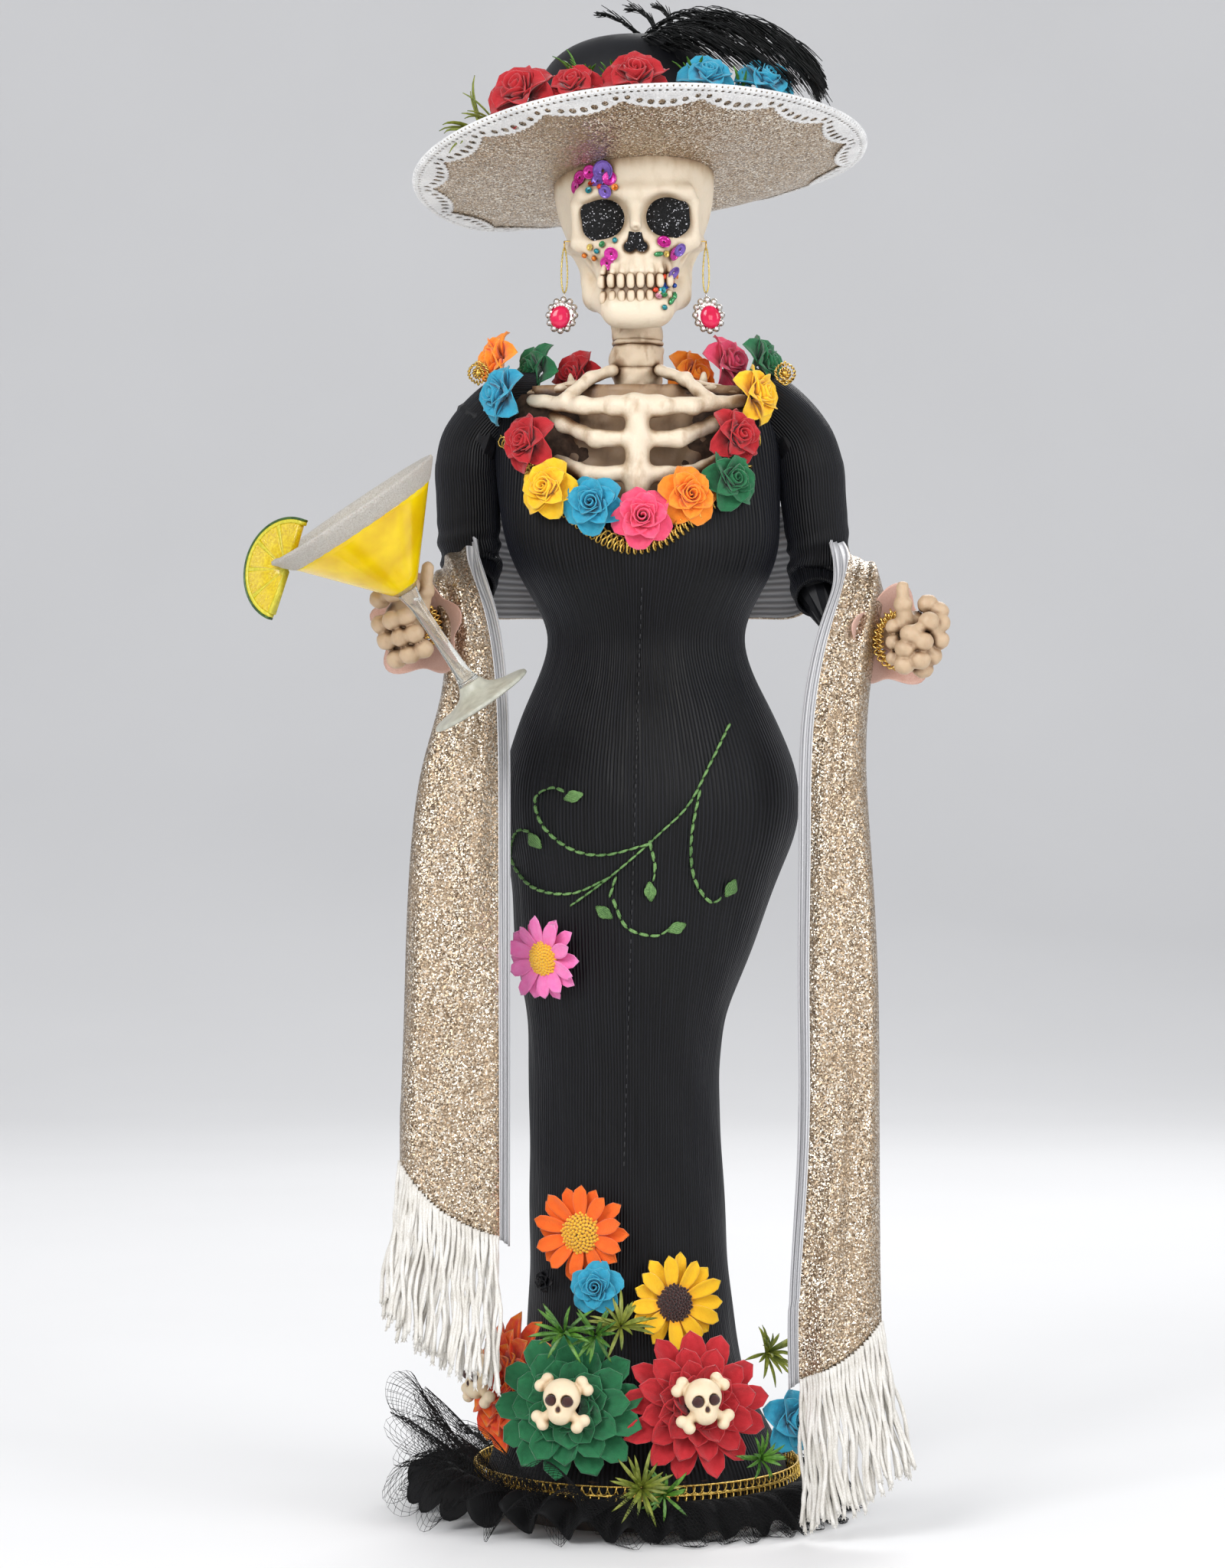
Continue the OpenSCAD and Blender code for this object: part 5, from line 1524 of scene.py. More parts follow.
steps_round = 84
lace_step = tile / steps_round
tile_points, tile_faces = net_skin(lace_field, (-lace_step, -3.2, -1.1),
                                   (tile + 2 * lace_step, 13.2, 1.1), lace_step)
tile_points = np.array(tile_points)
column = np.floor(tile_points[:, 0] / lace_step + 1e-6).astype(int)
tile_faces = [f for f in tile_faces
              if min(column[i] for i in f) >= 0 and min(column[i] for i in f) < steps_round]
lace = Heap()
for n in range(scallops):
    bent = []
    for s, w, t in tile_points:
        a = (n * tile + s) / 83.0 + 0.2
        rim = rim_at(a)[0]
        if w > 0:
            bent.append(brim_at(a, rim + 0.3 - w, -0.5 + t))
        else:
            p = brim_at(a, rim + 0.3, -0.5)
            out = Vector((math.cos(a), math.sin(a), 0))
            bent.append(p + out * (0.5 - t * 0.9) * min(1, -w) + Vector((0, 0, -w + t * max(0, 1 + w))))
    lace.add(bent, tile_faces)
lace_piece = hat_heap(lace).piece("rim_lace", ["white_lace"], "white_lace", replaces=["hat_lace"])
weld(lace_piece, 0.00003)
print("lace faces", len(lace.faces))

# %% Crown
crown_rows = smooth_line([(36.5, 0, 2.2), (37, 0, 10), (36.6, 0, 24), (34.5, 0, 36), (29.5, 0, 44),
                          (20, 0, 49), (9, 0, 50.6), (0.2, 0, 50.8)], 5)
crown_cols = 120
points = []
for r, _, z in crown_rows:
    for k in range(crown_cols):
        a = TAU * k / crown_cols
        pleat = 0.5 * math.sin(14 * a + z * 0.12) * math.exp(-((z - 14) / 16) ** 2)
        sag = 0.8 * math.sin(2 * a + 0.7) * (z / 50)
        points.append(((r + pleat) * math.cos(a), (r + pleat) * math.sin(a), z + sag))
crown = new_piece("hat_crown_cloth", from_hat(points),
                  grid_faces(len(crown_rows), crown_cols, wrap=True))
thicken(crown, 0.0014, 0)
wear(crown, "black_satin")
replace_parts(crown, "hat_crown")

# %% [markdown]
# ### Flowers, grass and feathers on the hat

# %% Hat flowers
hat_flowers = Heap()
hat_tones = ["red_petal", "blue_petal", "orange_petal", "pink_petal"]
for n, part in enumerate(islands("hat_roses")):
    centre, direction, depth = facing(part, (0, -0.4, 1))
    finish = 0 if n < 3 else (1 if n < 5 else 2)
    size = (0.0135, 0.0100, 0.0125, 0.0105, 0.0112, 0.0092)[n % 6]
    rose(hat_flowers, centre + direction * 0.0004, (direction + Vector((0, -0.35, 0.1))).normalized(),
         finish, size, dice.uniform(0, TAU))
for x, y, tone, size in ((-34, -56, 0, 9.5), (-14, -62, 0, 9.5), (0, -60, 0, 10.5), (12, -60, 0, 9),
                         (24, -58, 1, 9.5), (37, -52, 1, 9.5), (48, -44, 2, 7.5), (-46, -46, 0, 8)):
    spot = hat_matrix @ (brim_at(math.atan2(y, x), math.hypot(x, y), brim_thick + 5.0)) * MM
    rose(hat_flowers, spot, (x * 0.004, -0.42, 1), tone, size * MM, dice.uniform(0, TAU))
thicken(hat_flowers.piece("hat_paper_flowers", hat_tones, "red_petal", replaces=["hat_roses"]),
        0.0003, 0)


def grass(heap, spot, direction, count, long, finish=0, spread=0.9, width=0.0016):
    """A tuft of narrow leaves that fan out and curl over."""
    start = len(heap.points)
    for n in range(count):
        petal(heap, dice.uniform(0, TAU), 0.0004, long * dice.uniform(0.6, 1.05), width,
              dice.uniform(1.5 - spread, 1.35), 0.5, dice.uniform(0.2, 0.7), 1.3, finish, 0.0,
              dice.uniform(-0.3, 0.3), 2, 7)
    stand(heap, start, spot, direction)


hat_grass = Heap()
for x, y, z, lean, count, long, tone in (
        (-55, -40, 9, (-0.7, -0.3, 0.45), 9, 22, 1), (-50, -46, 10, (-0.3, -0.2, 1), 6, 17, 1),
        (-20, -54, 17, (0.3, -0.3, 0.8), 12, 17, 0), (-8, -52, 17, (0.1, -0.3, 1), 12, 16, 0),
        (2, -56, 14, (-0.8, -0.3, 0.6), 8, 15, 1), (36, -50, 12, (0.5, -0.3, 0.7), 8, 14, 0),
        (20, -55, 15, (0.2, -0.3, 0.9), 7, 13, 0)):
    grass(hat_grass, hat_matrix @ Vector((x, y, z)) * MM, lean, count, long * MM, tone)
thicken(hat_grass.piece("hat_grass", ["green_spray", "olive_leaf"], "green_spray",
                        replaces=["hat_greens"]), 0.0003, 0)

# %% [markdown]
# Each feather is a curved quill with a hundred narrow barbs. The barbs leave
# the quill at a slant and droop at their ends, which gives the soft outline.

# %% Feathers
def feather(heap, path, barb, count=110, droop=0.35, spread=1.0):
    quill = smooth_line(path, 14)
    heap.tube(quill, np.linspace(0.5, 0.12, len(quill)), 6)
    n = len(quill)
    for k in range(count):
        share = (k + 0.5) / count
        i = min(n - 2, int(share * (n - 1)))
        p = quill[i] + (quill[i + 1] - quill[i]) * (share * (n - 1) - i)
        ahead = quill[i + 1] - quill[i]
        ahead = ahead / np.linalg.norm(ahead)
        side = np.cross(ahead, (0.1, 0.35, 1.0))
        side = side / np.linalg.norm(side) * (1 if k % 2 else -1)
        long = barb * math.sin(math.pi * (0.12 + 0.8 * share)) * dice.uniform(0.75, 1.1)
        lift = dice.uniform(-0.25, 0.35)
        points = []
        for j in range(6):
            t = j / 5
            spot = (p + (ahead * (0.75 + 0.4 * t) + side * spread * (0.75 - 0.3 * t)) * long * t
                    + np.array((0, 0, lift * long * t - droop * long * t * t)))
            half = 0.75 * (1 - 0.8 * t)
            points += [spot - ahead * half, spot + ahead * half * 0.6 + side * half]
        heap.add(points, grid_faces(6, 2))


plumes = Heap()
for path, barb in (([(4, -12, 50), (20, -26, 53), (38, -38, 46), (56, -44, 33), (65, -46, 21)], 16),
                   ([(8, -20, 45), (24, -34, 45), (42, -44, 36), (56, -48, 25), (64, -49, 15)], 15),
                   ([(2, -6, 50), (22, -18, 53), (42, -28, 46), (60, -38, 32), (64, -42, 22)], 16),
                   ([(6, -26, 40), (22, -40, 38), (40, -49, 28), (54, -52, 18)], 14),
                   ([(10, -22, 47), (28, -34, 48), (46, -42, 40), (58, -45, 28), (64, -47, 18)], 15),
                   ([(0, -24, 44), (16, -38, 42), (34, -46, 34), (50, -50, 22)], 14)):
    feather(plumes, path, barb, 170, 0.55, 0.75)
feather(plumes, [(6, -12, 49), (0, -14, 54), (-6, -15, 58), (-10, -15, 59)], 6, 34, 0.1, 0.5)
feather(plumes, [(10, -12, 50), (8, -13, 56), (4, -13, 60), (1, -12, 61)], 6, 34, 0.1, 0.5)
feather(plumes, [(14, -14, 50), (15, -14, 55), (13, -14, 59), (10, -13, 61)], 5, 30, 0.1, 0.5)
plume = hat_heap(plumes).piece("black_feathers", ["black_feather"], "black_feather",
                               replaces=["hat_feathers"])
thicken(plume, 0.00018, 0)

# %% [markdown]
# ## Chest, neck and hands
#
# These are cast resin bones, washed with brown. The ribs are rods melted
# together, so each one flows into the breastbone, and a rough dark wall behind
# them closes the hollow chest.

# %% Ribcage
def melted(x, y, z, rods, k):
    """Melts a list of rods, each given as (start, end, radius, radius)."""
    f = rod(x, y, z, *rods[0])
    for r in rods[1:]:
        f = melt(f, rod(x, y, z, *r), k)
    return f


def chest_rods():
    rods = [((0, -29, 402), (0, -29, 374), 4.3, 4.5), ((0, -29.5, 376), (0, -31, 360), 4.4, 3.6),
            ((-8, -28.5, 401.6), (8, -28.5, 401.6), 3.8)]
    for s in sides:
        rods += [((s * 3, -28.5, 401.8), (s * 20, -26, 402), 3.3, 3.0),
                 ((s * 20, -26, 402), (s * 38, -14, 405), 3.0, 2.4),
                 ((s * 4, -28.8, 389.8), (s * 15, -27.5, 390), 3.0),
                 ((s * 15, -27.5, 390), (s * 27, -19, 396), 3.0, 2.6),
                 ((s * 27, -19, 396), (s * 31, -11, 400), 2.6, 2.2),
                 ((s * 4, -29.5, 377.3), (s * 18, -27, 377), 3.0),
                 ((s * 18, -27, 377), (s * 29, -17, 383), 3.0, 2.4),
                 ((s * 3, -30, 366), (s * 16, -27, 364), 2.6, 2.4),
                 ((s * 8.5, -6, 417), (s * 17.5, -14, 413), 2.2),
                 ((s * 17.5, -14, 413), (s * 25.5, -22.5, 405), 2.2, 2.6),
                 ((s * 22, -11, 410.5), (s * 40, -6, 408), 2.4, 1.8),
                 ((s * 24, -4, 410), (s * 24.5, -2, 416), 2.4, 0.9)]
    return rods


def chest_field(x, y, z):
    wobble = 0.25 * np.sin(x * 0.7) * np.sin(z * 0.55 + y * 0.3)
    return melted(x, y, z, chest_rods(), 2.2) + wobble


points, faces = net_skin(chest_field, (-44, -37, 356), (44, 2, 420), 0.75)
ribs = new_piece("ribs", np.array(points) * MM, faces)
wear(ribs, "bone_washed")
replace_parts(ribs, "ribcage")

rows, cols = 26, 44
points = []
for i in range(rows):
    for k in range(cols):
        x = -38 + 76 * k / (cols - 1)
        z = 356 + 55 * i / (rows - 1)
        rough = 0.9 * math.sin(x * 0.55 + z * 0.21) * math.sin(z * 0.47 - x * 0.13)
        points.append((x * MM, (-14 + 0.004 * x * x + rough) * MM, z * MM))
hollow = new_piece("chest_hollow", points, grid_faces(rows, cols))
thicken(hollow, 0.0015, 0)
wear(hollow, "bone_hollow")

# %% Neck
neck_rows = smooth_line([(8.6, 0, 440), (8.7, 0, 430), (8.5, 0, 428.6), (8.9, 0, 427.6),
                         (8.1, 0, 426.7), (9.1, 0, 425.3), (9.4, 0, 421.5), (9.2, 0, 419.2),
                         (8.6, 0, 418.2), (9.0, 0, 416.6), (8.3, 0, 413.5), (7.7, 0, 411),
                         (8.6, 0, 408), (11, 0, 404), (12.5, 0, 401)], 4)
neck_cols = 56
points = []
for r, _, z in neck_rows:
    for k in range(neck_cols):
        a = TAU * k / neck_cols
        lump = 0.4 * math.sin(3 * a + z * 0.4) + 0.2 * math.sin(7 * a - z)
        points.append(((r + lump) * math.cos(a) * MM, (2 + (r + lump) * math.sin(a)) * MM, z * MM))
neck = new_piece("neck_bones", points, grid_faces(len(neck_rows), neck_cols, wrap=True))
thicken(neck, 0.0012, 0)
wear(neck, "neck_bone")
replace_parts(neck, "neck")

# %% [markdown]
# The hands are knobbly fists: every joint of a finger is a ball, and short rods
# join the balls. The creases between them stay deep, because the wash collects
# there on the real casting.

# %% Hands
fingers = {
    "right": [[(-91.3, -52, 331), (-86.5, -57, 333), (-80.5, -58, 335.3)],
              [(-90.8, -52, 322), (-86.5, -58, 323.2), (-82.0, -59, 324.3)],
              [(-88.8, -52, 316.3), (-83.5, -58, 317.3), (-79.0, -59, 318.4)],
              [(-85.4, -51, 309.8), (-80.5, -57, 311.3), (-75.8, -57, 313.2)]],
    "left": [[(107.6, -45, 322.8), (107.2, -43, 327), (103.4, -43, 329.6)],
             [(107.2, -45, 316.8), (103.2, -49, 323.2), (96.6, -50, 318.6)],
             [(104.6, -45, 311.2), (101.2, -50, 316), (94.8, -49, 313.5)],
             [(101.6, -44, 306.6), (100.2, -49, 309.6), (94.6, -48, 307.8)]]}
thumbs = {"right": [(-77.5, -49, 325), (-75.3, -52, 334), (-74.4, -53, 342)],
          "left": [(95.5, -44, 322), (94.3, -46, 329.5), (94.2, -46, 335.5)]}
palms = {"right": ((-84, -46.5, 320.5), (-75, -31, 323.5)), "left": ((99, -40, 316.5), (88, -22, 319.5))}
knuckles = {"right": [(-79.5, -48, 329), (-80, -47, 314)],
            "left": [(90.8, -45, 321.5), (90.8, -46, 316), (91, -45, 310.3)]}


def hand_field(side):
    palm, wrist = palms[side]

    def field(x, y, z):
        f = ball(x, y, z, palm, (7.0, 6.6, 11))
        f = melt(f, rod(x, y, z, palm, wrist, 5.2, 4.8), 3)
        for chain in fingers[side]:
            for a, b in zip(chain, chain[1:]):
                f = melt(f, rod(x, y, z, a, b, 2.1), 0.9)
            for joint in chain:
                f = melt(f, ball(x, y, z, joint, (3.75, 3.6, 3.5)), 0.35)
        for joint in knuckles[side]:
            f = melt(f, ball(x, y, z, joint, 2.7), 0.8)
        a, b, c = thumbs[side]
        f = melt(f, rod(x, y, z, a, b, 3.2, 2.6), 1.4)
        f = melt(f, rod(x, y, z, b, c, 2.5, 2.2), 0.5)
        f = melt(f, ball(x, y, z, b, 3.4), 0.4)
        crease = 0.12 * np.sin(x * 1.7 + z * 0.6) * np.sin(z * 1.3)
        return f + crease
    return field


for side in ("right", "left"):
    places = np.array([p for chain in fingers[side] for p in chain] + thumbs[side]
                      + list(palms[side]), float)
    points, faces = net_skin(hand_field(side), places.min(0) - 8, places.max(0) + 8, 0.5)
    hand = new_piece("bone_hand_" + side, np.array(points) * MM, faces)
    wear(hand, "bone_tan")
    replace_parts(hand, "hand_" + side)

# %% [markdown]
# ### Cuffs and bracelets
#
# A short ruffle of peach chiffon opens round each wrist. In front of it lies a
# tangle of coiled gold wire. Both are built round the wrist's own axis.

# %% Cuffs
def around_axis(centre, axis, rows_of, cols):
    """Rings round an axis; rows_of(i, a) gives (distance along, radius)."""
    turn = turned(Vector(axis).normalized())
    points = []
    for i in range(rows_of.rows):
        for k in range(cols):
            a = TAU * k / cols
            along, r = rows_of(i, a)
            points.append(Vector(centre) + turn @ Vector((r * math.cos(a), r * math.sin(a), along)))
    return points


class Ruffle:
    """Flared, waving rings: narrow at the wrist and wide at the hem."""
    rows = 12

    def __init__(self, first, last, length, waves):
        self.first, self.last, self.length, self.waves = first, last, length, waves

    def __call__(self, i, a):
        t = i / (self.rows - 1)
        wave = math.sin(self.waves * a + 0.6 * math.sin(2 * a)) * 0.16 * self.last * t * t
        return (self.length * t * (1 - 0.25 * t) + wave * 0.5,
                self.first + (self.last - self.first) * t ** 0.8 + wave)


wrists = {"right": (Vector((-73.5, -31, 322.5)), Vector((-0.5, -0.83, -0.12))),
          "left": (Vector((87, -22, 319)), Vector((0.5, -0.8, -0.12)))}
ruffles = []
for side, (centre, axis) in wrists.items():
    shape = Ruffle(5.6, 17.5, 13, 5)
    points = [p * MM for p in around_axis(centre, axis, shape, 72)]
    ruffle = new_piece("chiffon_cuff_" + side, points, grid_faces(shape.rows, 72, wrap=True))
    thicken(ruffle, 0.0003, 0)
    wear(ruffle, "chiffon")
    ruffles.append(ruffle)
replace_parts(ruffles[0], "cuffs")

# %% Bracelets
wire = Heap()
for side, (centre, axis) in wrists.items():
    turn = turned(axis.normalized())
    for n, (r, along, tip, coils) in enumerate(((8.2, 11, 0.12, 34), (9.4, 12.5, -0.25, 30),
                                                (8.6, 14, 0.3, 38), (10.4, 13, 0.1, 26))):
        line = []
        count = coils * 7
        for k in range(count + 1):
            a, c = TAU * k / count, TAU * coils * k / count
            rr = r + 0.9 * math.cos(c) + 0.3 * math.sin(3 * a + n)
            p = Vector((rr * math.cos(a), rr * math.sin(a), along + 0.9 * math.sin(c)
                        + r * tip * math.sin(a + n)))
            line.append(np.array((centre + turn @ p) * MM))
        wire.tube(np.array(line), 0.00034, 5)
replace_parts(wire.piece("coiled_bracelets", ["gold_wire"], "gold_wire"), "bracelets")

# %% Arms
for node in ("arm_right", "arm_left"):
    wear(frame["nodes"][node], "black_satin")

# %% [markdown]
# ## The cocktail glass
#
# Glass, drink and foot are cast in clear resin. Profiles are turned on the
# glass's own axis in millimetres from its foot, and one matrix tilts them into
# the hand. The salt band is a rough skin over the rim.

# %% Glass
glass_matrix = (Matrix.Translation((-54.5, -66, 294)) @ Matrix.Rotation(math.radians(-34), 4, "Y")
                @ Matrix.Rotation(math.radians(8), 4, "X"))
stem_top, bowl_top, bowl_r, glass_wall = 47.0, 81.0, 33.0, 1.4


def lathe(rows, cols, wobble=0.0, seed=0.0):
    """Turned points from (radius, height) rows, through the glass's matrix."""
    points = []
    for i, (r, z) in enumerate(rows):
        for k in range(cols):
            a = TAU * k / cols
            d = wobble * (math.sin(9 * a + 3 * i + seed) * math.sin(23 * a + 5 * i)
                          + 0.6 * math.sin(41 * a - 2 * i + seed))
            points.append(glass_matrix @ Vector(((r + d) * math.cos(a), (r + d) * math.sin(a), z)) * MM)
    return points


def turned_piece(name, rows, finish, cols=96, wobble=0.0, closed=True):
    faces = grid_faces(len(rows), cols, wrap=True)
    if closed:
        last = len(rows) - 1
        faces += [tuple(range(cols))[::-1], tuple(last * cols + k for k in range(cols))]
    piece = new_piece(name, lathe(rows, cols, wobble), faces)
    wear(piece, finish)
    return piece


def profile(points, per_span=6):
    return [(r, z) for r, _, z in smooth_line([(r, 0, z) for r, z in points], per_span)]


foot = profile([(0.3, 0.2), (15, 0.0), (18.4, 0.3), (19, 1.0), (18, 1.9), (12, 3.0), (6.5, 5.2),
                (4.2, 8.5)])
turned_piece("glass_foot", foot, "milky_resin")
stem = profile([(4.1, 8.6), (3.1, 12), (2.6, 18), (2.4, 28), (2.5, 38), (3.0, 43), (3.8, 47)])
turned_piece("glass_stem", stem, "clear_resin", 48)
cone = [(0.2, stem_top + 2)] + [(3.0 + (bowl_r - glass_wall - 3) * t, stem_top + 3
                                 + (bowl_top - stem_top - 3) * t) for t in np.linspace(0, 1, 9)]
shell = ([(3.8 + (bowl_r - 3.8) * t, stem_top + 0.05 + (bowl_top - stem_top) * t)
          for t in np.linspace(0, 1, 10)]
         + [(bowl_r - 0.3, bowl_top + 0.4), (bowl_r - 1.1, bowl_top + 0.4)] + cone[::-1])
bowl = turned_piece("glass_bowl", shell, "clear_resin", 128)
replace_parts(bowl, "glass")

full = 0.845
drink_rows = [(0.3, stem_top + 0.9), (4.0, stem_top + 1)]
drink_rows += [(3.95 + (bowl_r - 3.8) * t, stem_top + (bowl_top - stem_top) * t)
               for t in np.linspace(0.05, full, 12)]
top_r, top_z = drink_rows[-1]
drink_rows += [(top_r - 0.5, top_z + 0.35), (top_r - 2, top_z + 0.1), (top_r / 2, top_z - 0.1),
               (0.3, top_z - 0.1)]
drink = turned_piece("yellow_drink", drink_rows, "yellow_resin", 96)
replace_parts(drink, "drink")

band = []
for t, out in ((0.82, 0.1), (0.835, 0.6), (0.88, 0.7), (0.92, 0.75), (0.96, 0.7), (1.0, 0.7)):
    band.append((3.8 + (bowl_r - 3.8) * t + out, stem_top + (bowl_top - stem_top) * t))
band += [(bowl_r + 0.4, bowl_top + 0.9), (bowl_r - 0.7, bowl_top + 1.1),
         (bowl_r - 2.2, bowl_top + 0.7)]
for t in (0.96, 0.92, 0.88, 0.84):
    band.append((3.8 + (bowl_r - 3.8) * t - glass_wall - 1.0,
                 stem_top + (bowl_top - stem_top) * t + 0.3))
salt = turned_piece("salt_band", band, "salt", 220, 0.16, closed=False)
salt_end = len(band) - 1
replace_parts(salt, "salt_rim")

# %% [markdown]
# The lime is half a slice: dark rind outside, pale pith, then juice cells set
# in wedges. It sits over the rim in the slot that the maker left for it.

# %% Lime
lime_r, lime_t = 18.5, 3.0
lime_matrix = (glass_matrix @ Matrix.Translation((-bowl_r + 2.8, 0, bowl_top - 4.4))
               @ Matrix.Rotation(math.radians(-36), 4, "Y")
               @ Matrix.Rotation(math.radians(90 - 40), 4, "X"))


def lime_ring(inner, outer, thick, finish, heap, bulge=0.0, start=0.0, end=math.pi, steps=40):
    """A bar of the half slice between two radii and two angles, with soft edges."""
    section = [(inner, -0.42), (inner + 0.3, -0.5), (outer - 0.3, -0.5), (outer, -0.42),
               (outer, 0.42), (outer - 0.3, 0.5), ((inner + outer) / 2, 0.5 + bulge),
               (inner + 0.3, 0.5), (inner, 0.42), ((inner + outer) / 2, -0.5 - bulge)]
    section = section[:2] + [section[9]] + section[2:9]
    points = []
    for i in range(steps + 1):
        a = start + (end - start) * i / steps
        for r, h in section:
            points.append(Vector((r * math.cos(a), r * math.sin(a), h * thick)))
    n = len(section)
    faces = grid_faces(steps + 1, n, wrap=True) + [tuple(range(n))[::-1],
                                                   tuple(steps * n + k for k in range(n))]
    heap.add([tuple(lime_matrix @ p * MM) for p in points], faces, finish=finish)


lime = Heap()
lime_ring(lime_r - 0.9, lime_r, lime_t, 0, lime)
lime_ring(lime_r - 2.2, lime_r - 0.85, lime_t * 0.97, 1, lime)
wedges = 5
for n in range(wedges):
    first, last = math.pi * n / wedges + 0.045, math.pi * (n + 1) / wedges - 0.045
    lime_ring(2.4, lime_r - 2.2, lime_t * 0.86, 2, lime, 0.12, first, last, 10)
    lime_ring(0.4, lime_r - 2.1, lime_t * 0.93, 1, lime, 0.0, last, last + 0.09, 2)
lime_ring(0.4, 2.6, lime_t * 0.93, 1, lime)
for n in range(150):
    a, r = dice.uniform(0.08, math.pi - 0.08), 16.0 * math.sqrt(dice.uniform(0.05, 0.97))
    if abs((a % (math.pi / wedges)) - math.pi / wedges / 2) > math.pi / wedges / 2 - 0.09:
        continue
    turn = (lime_matrix @ Matrix.Rotation(a, 4, "Z")).to_3x3()
    for face in (-1, 1):
        bead(lime, lime_matrix @ Vector((r * math.cos(a), r * math.sin(a), face * 1.22)) * MM,
             (1.3 * MM, 0.5 * MM, 0.34 * MM), turn, 2, 4, 6)
lime.piece("lime_half_slice", ["lime_rind", "lime_pith", "lime_flesh"], "lime",
           replaces=["lime_slice"])

# %% [markdown]
# ## Earrings
#
# These move. The loop of twisted gold thread swings on its ring, and the stone
# swings on the loop, so each piece rides on the CAD body that carries it. The
# places of both joints come from the frame.

# %% Earrings
joint_at = {j["name"]: Vector(j["pos_m"]) for j in frame["joints"]}
loop_length = 17 * MM


def twisted(heap, line, radius, turns, finish=0):
    """Two strands wound round a line."""
    line = np.array(line, float)
    n = len(line)
    for phase in (0, math.pi):
        wound = []
        side = np.array((0, 1, 0.0))
        for i, p in enumerate(line):
            ahead = line[min(i + 1, n - 1)] - line[max(i - 1, 0)]
            ahead = ahead / np.linalg.norm(ahead)
            side = side - ahead * (side @ ahead)
            side = side / np.linalg.norm(side)
            a = phase + TAU * turns * i / (n - 1)
            wound.append(p + radius * 0.5 * (math.cos(a) * side + math.sin(a) * np.cross(ahead, side)))
        heap.tube(np.array(wound), radius * 0.62, 6, finish=finish)


def oval(heap, centre, turn, rows, cols, finish, squash=1.18):
    """A turned, slightly oval solid; rows are (radius, depth) towards the viewer."""
    points = []
    for r, d in rows:
        for k in range(cols):
            a = TAU * k / cols
            points.append(centre + turn @ Vector((r * math.cos(a), -d, r * squash * math.sin(a))))
    heap.add(points, grid_faces(len(rows), cols, wrap=True)
             + [tuple(range(cols))[::-1], tuple((len(rows) - 1) * cols + k for k in range(cols))],
             finish=finish)


for side in ("right", "left"):
    sign = -1 if side == "right" else 1
    top = joint_at["earring_" + side + "_swing"]
    bottom = joint_at["earring_" + side + "_drop"]
    loop = Heap()
    line = []
    for t in np.linspace(0, 1, 60):
        a = TAU * t
        width = 1.7 * MM * (0.75 + 0.25 * math.cos(a / 2) ** 2)
        mid = (top + bottom) / 2
        x = math.sin(a) * width * (0.45 + 0.55 * math.sin(a / 2) ** 2)
        line.append((mid.x + x, mid.y, mid.z + math.cos(a) * (loop_length / 2 - 0.3 * MM)))
    twisted(loop, line, 0.36 * MM, 17)
    loop.piece("thread_loop_" + side, ["gold_thread"], "gold_thread", "loop_" + side,
               ["earring_loop_" + side])
    jewel = Heap()
    turn = Matrix.Rotation(math.radians(18 * -sign), 3, "Y")
    centre = bottom + Vector((0.9 * sign * MM, 0, -8.0 * MM))
    oval(jewel, centre, turn, [(3.6 * MM, -1.3 * MM), (4.9 * MM, -0.9 * MM), (5.1 * MM, 0.2 * MM),
                               (4.4 * MM, 0.9 * MM), (3.8 * MM, 0.9 * MM)], 48, 0)
    stone = centre + turn @ Vector((0.4 * sign * MM, -0.5 * MM, -0.9 * MM))
    oval(jewel, stone, turn, [(3.0 * MM, 0.2 * MM), (3.7 * MM, 0.7 * MM), (3.5 * MM, 1.4 * MM),
                              (2.5 * MM, 2.1 * MM), (0.4 * MM, 2.2 * MM)], 16, 1)
    for n in range(12):
        a = TAU * n / 12 + 0.26
        p = centre + turn @ Vector((4.75 * MM * math.cos(a), -0.9 * MM, 5.75 * MM * math.sin(a)))
        bead(jewel, p, (1.25 * MM, 0.9 * MM, 1.25 * MM), turn, 0, 6, 10)
        bead(jewel, p + Vector((0, -0.75 * MM, 0)), (0.8 * MM, 0.45 * MM, 0.8 * MM), turn, 2, 4, 8)
    for n in range(3):
        a = math.radians(60 + 30 * n)
        p = stone + turn @ Vector((4.0 * MM * math.cos(a), -0.6 * MM, 4.6 * MM * math.sin(a)))
        bead(jewel, p, (0.85 * MM,) * 3, turn, 2, 4, 8)
    ring = [bottom + Vector((0, 1.1 * MM * math.cos(a), -1.0 * MM + 1.5 * MM * math.sin(a)))
            for a in np.linspace(0, TAU, 24)]
    jewel.tube(np.array([p[:] for p in ring]), 0.24 * MM, 6, finish=0)
    jewel.piece("earring_jewel_" + side, ["rhinestone", "pink_stone", "clear_stone"],
                "rhinestone", "drop_" + side,
                ["earring_setting_" + side, "earring_stone_" + side])
print("earrings ride on", [j for j in joint_at])

# %% [markdown]
# ## Trimmings
#
# Gold braid is wire coiled along a line, with a straight cord on each edge. The
# same coil makes the braid at the neckline and the one round the hem.

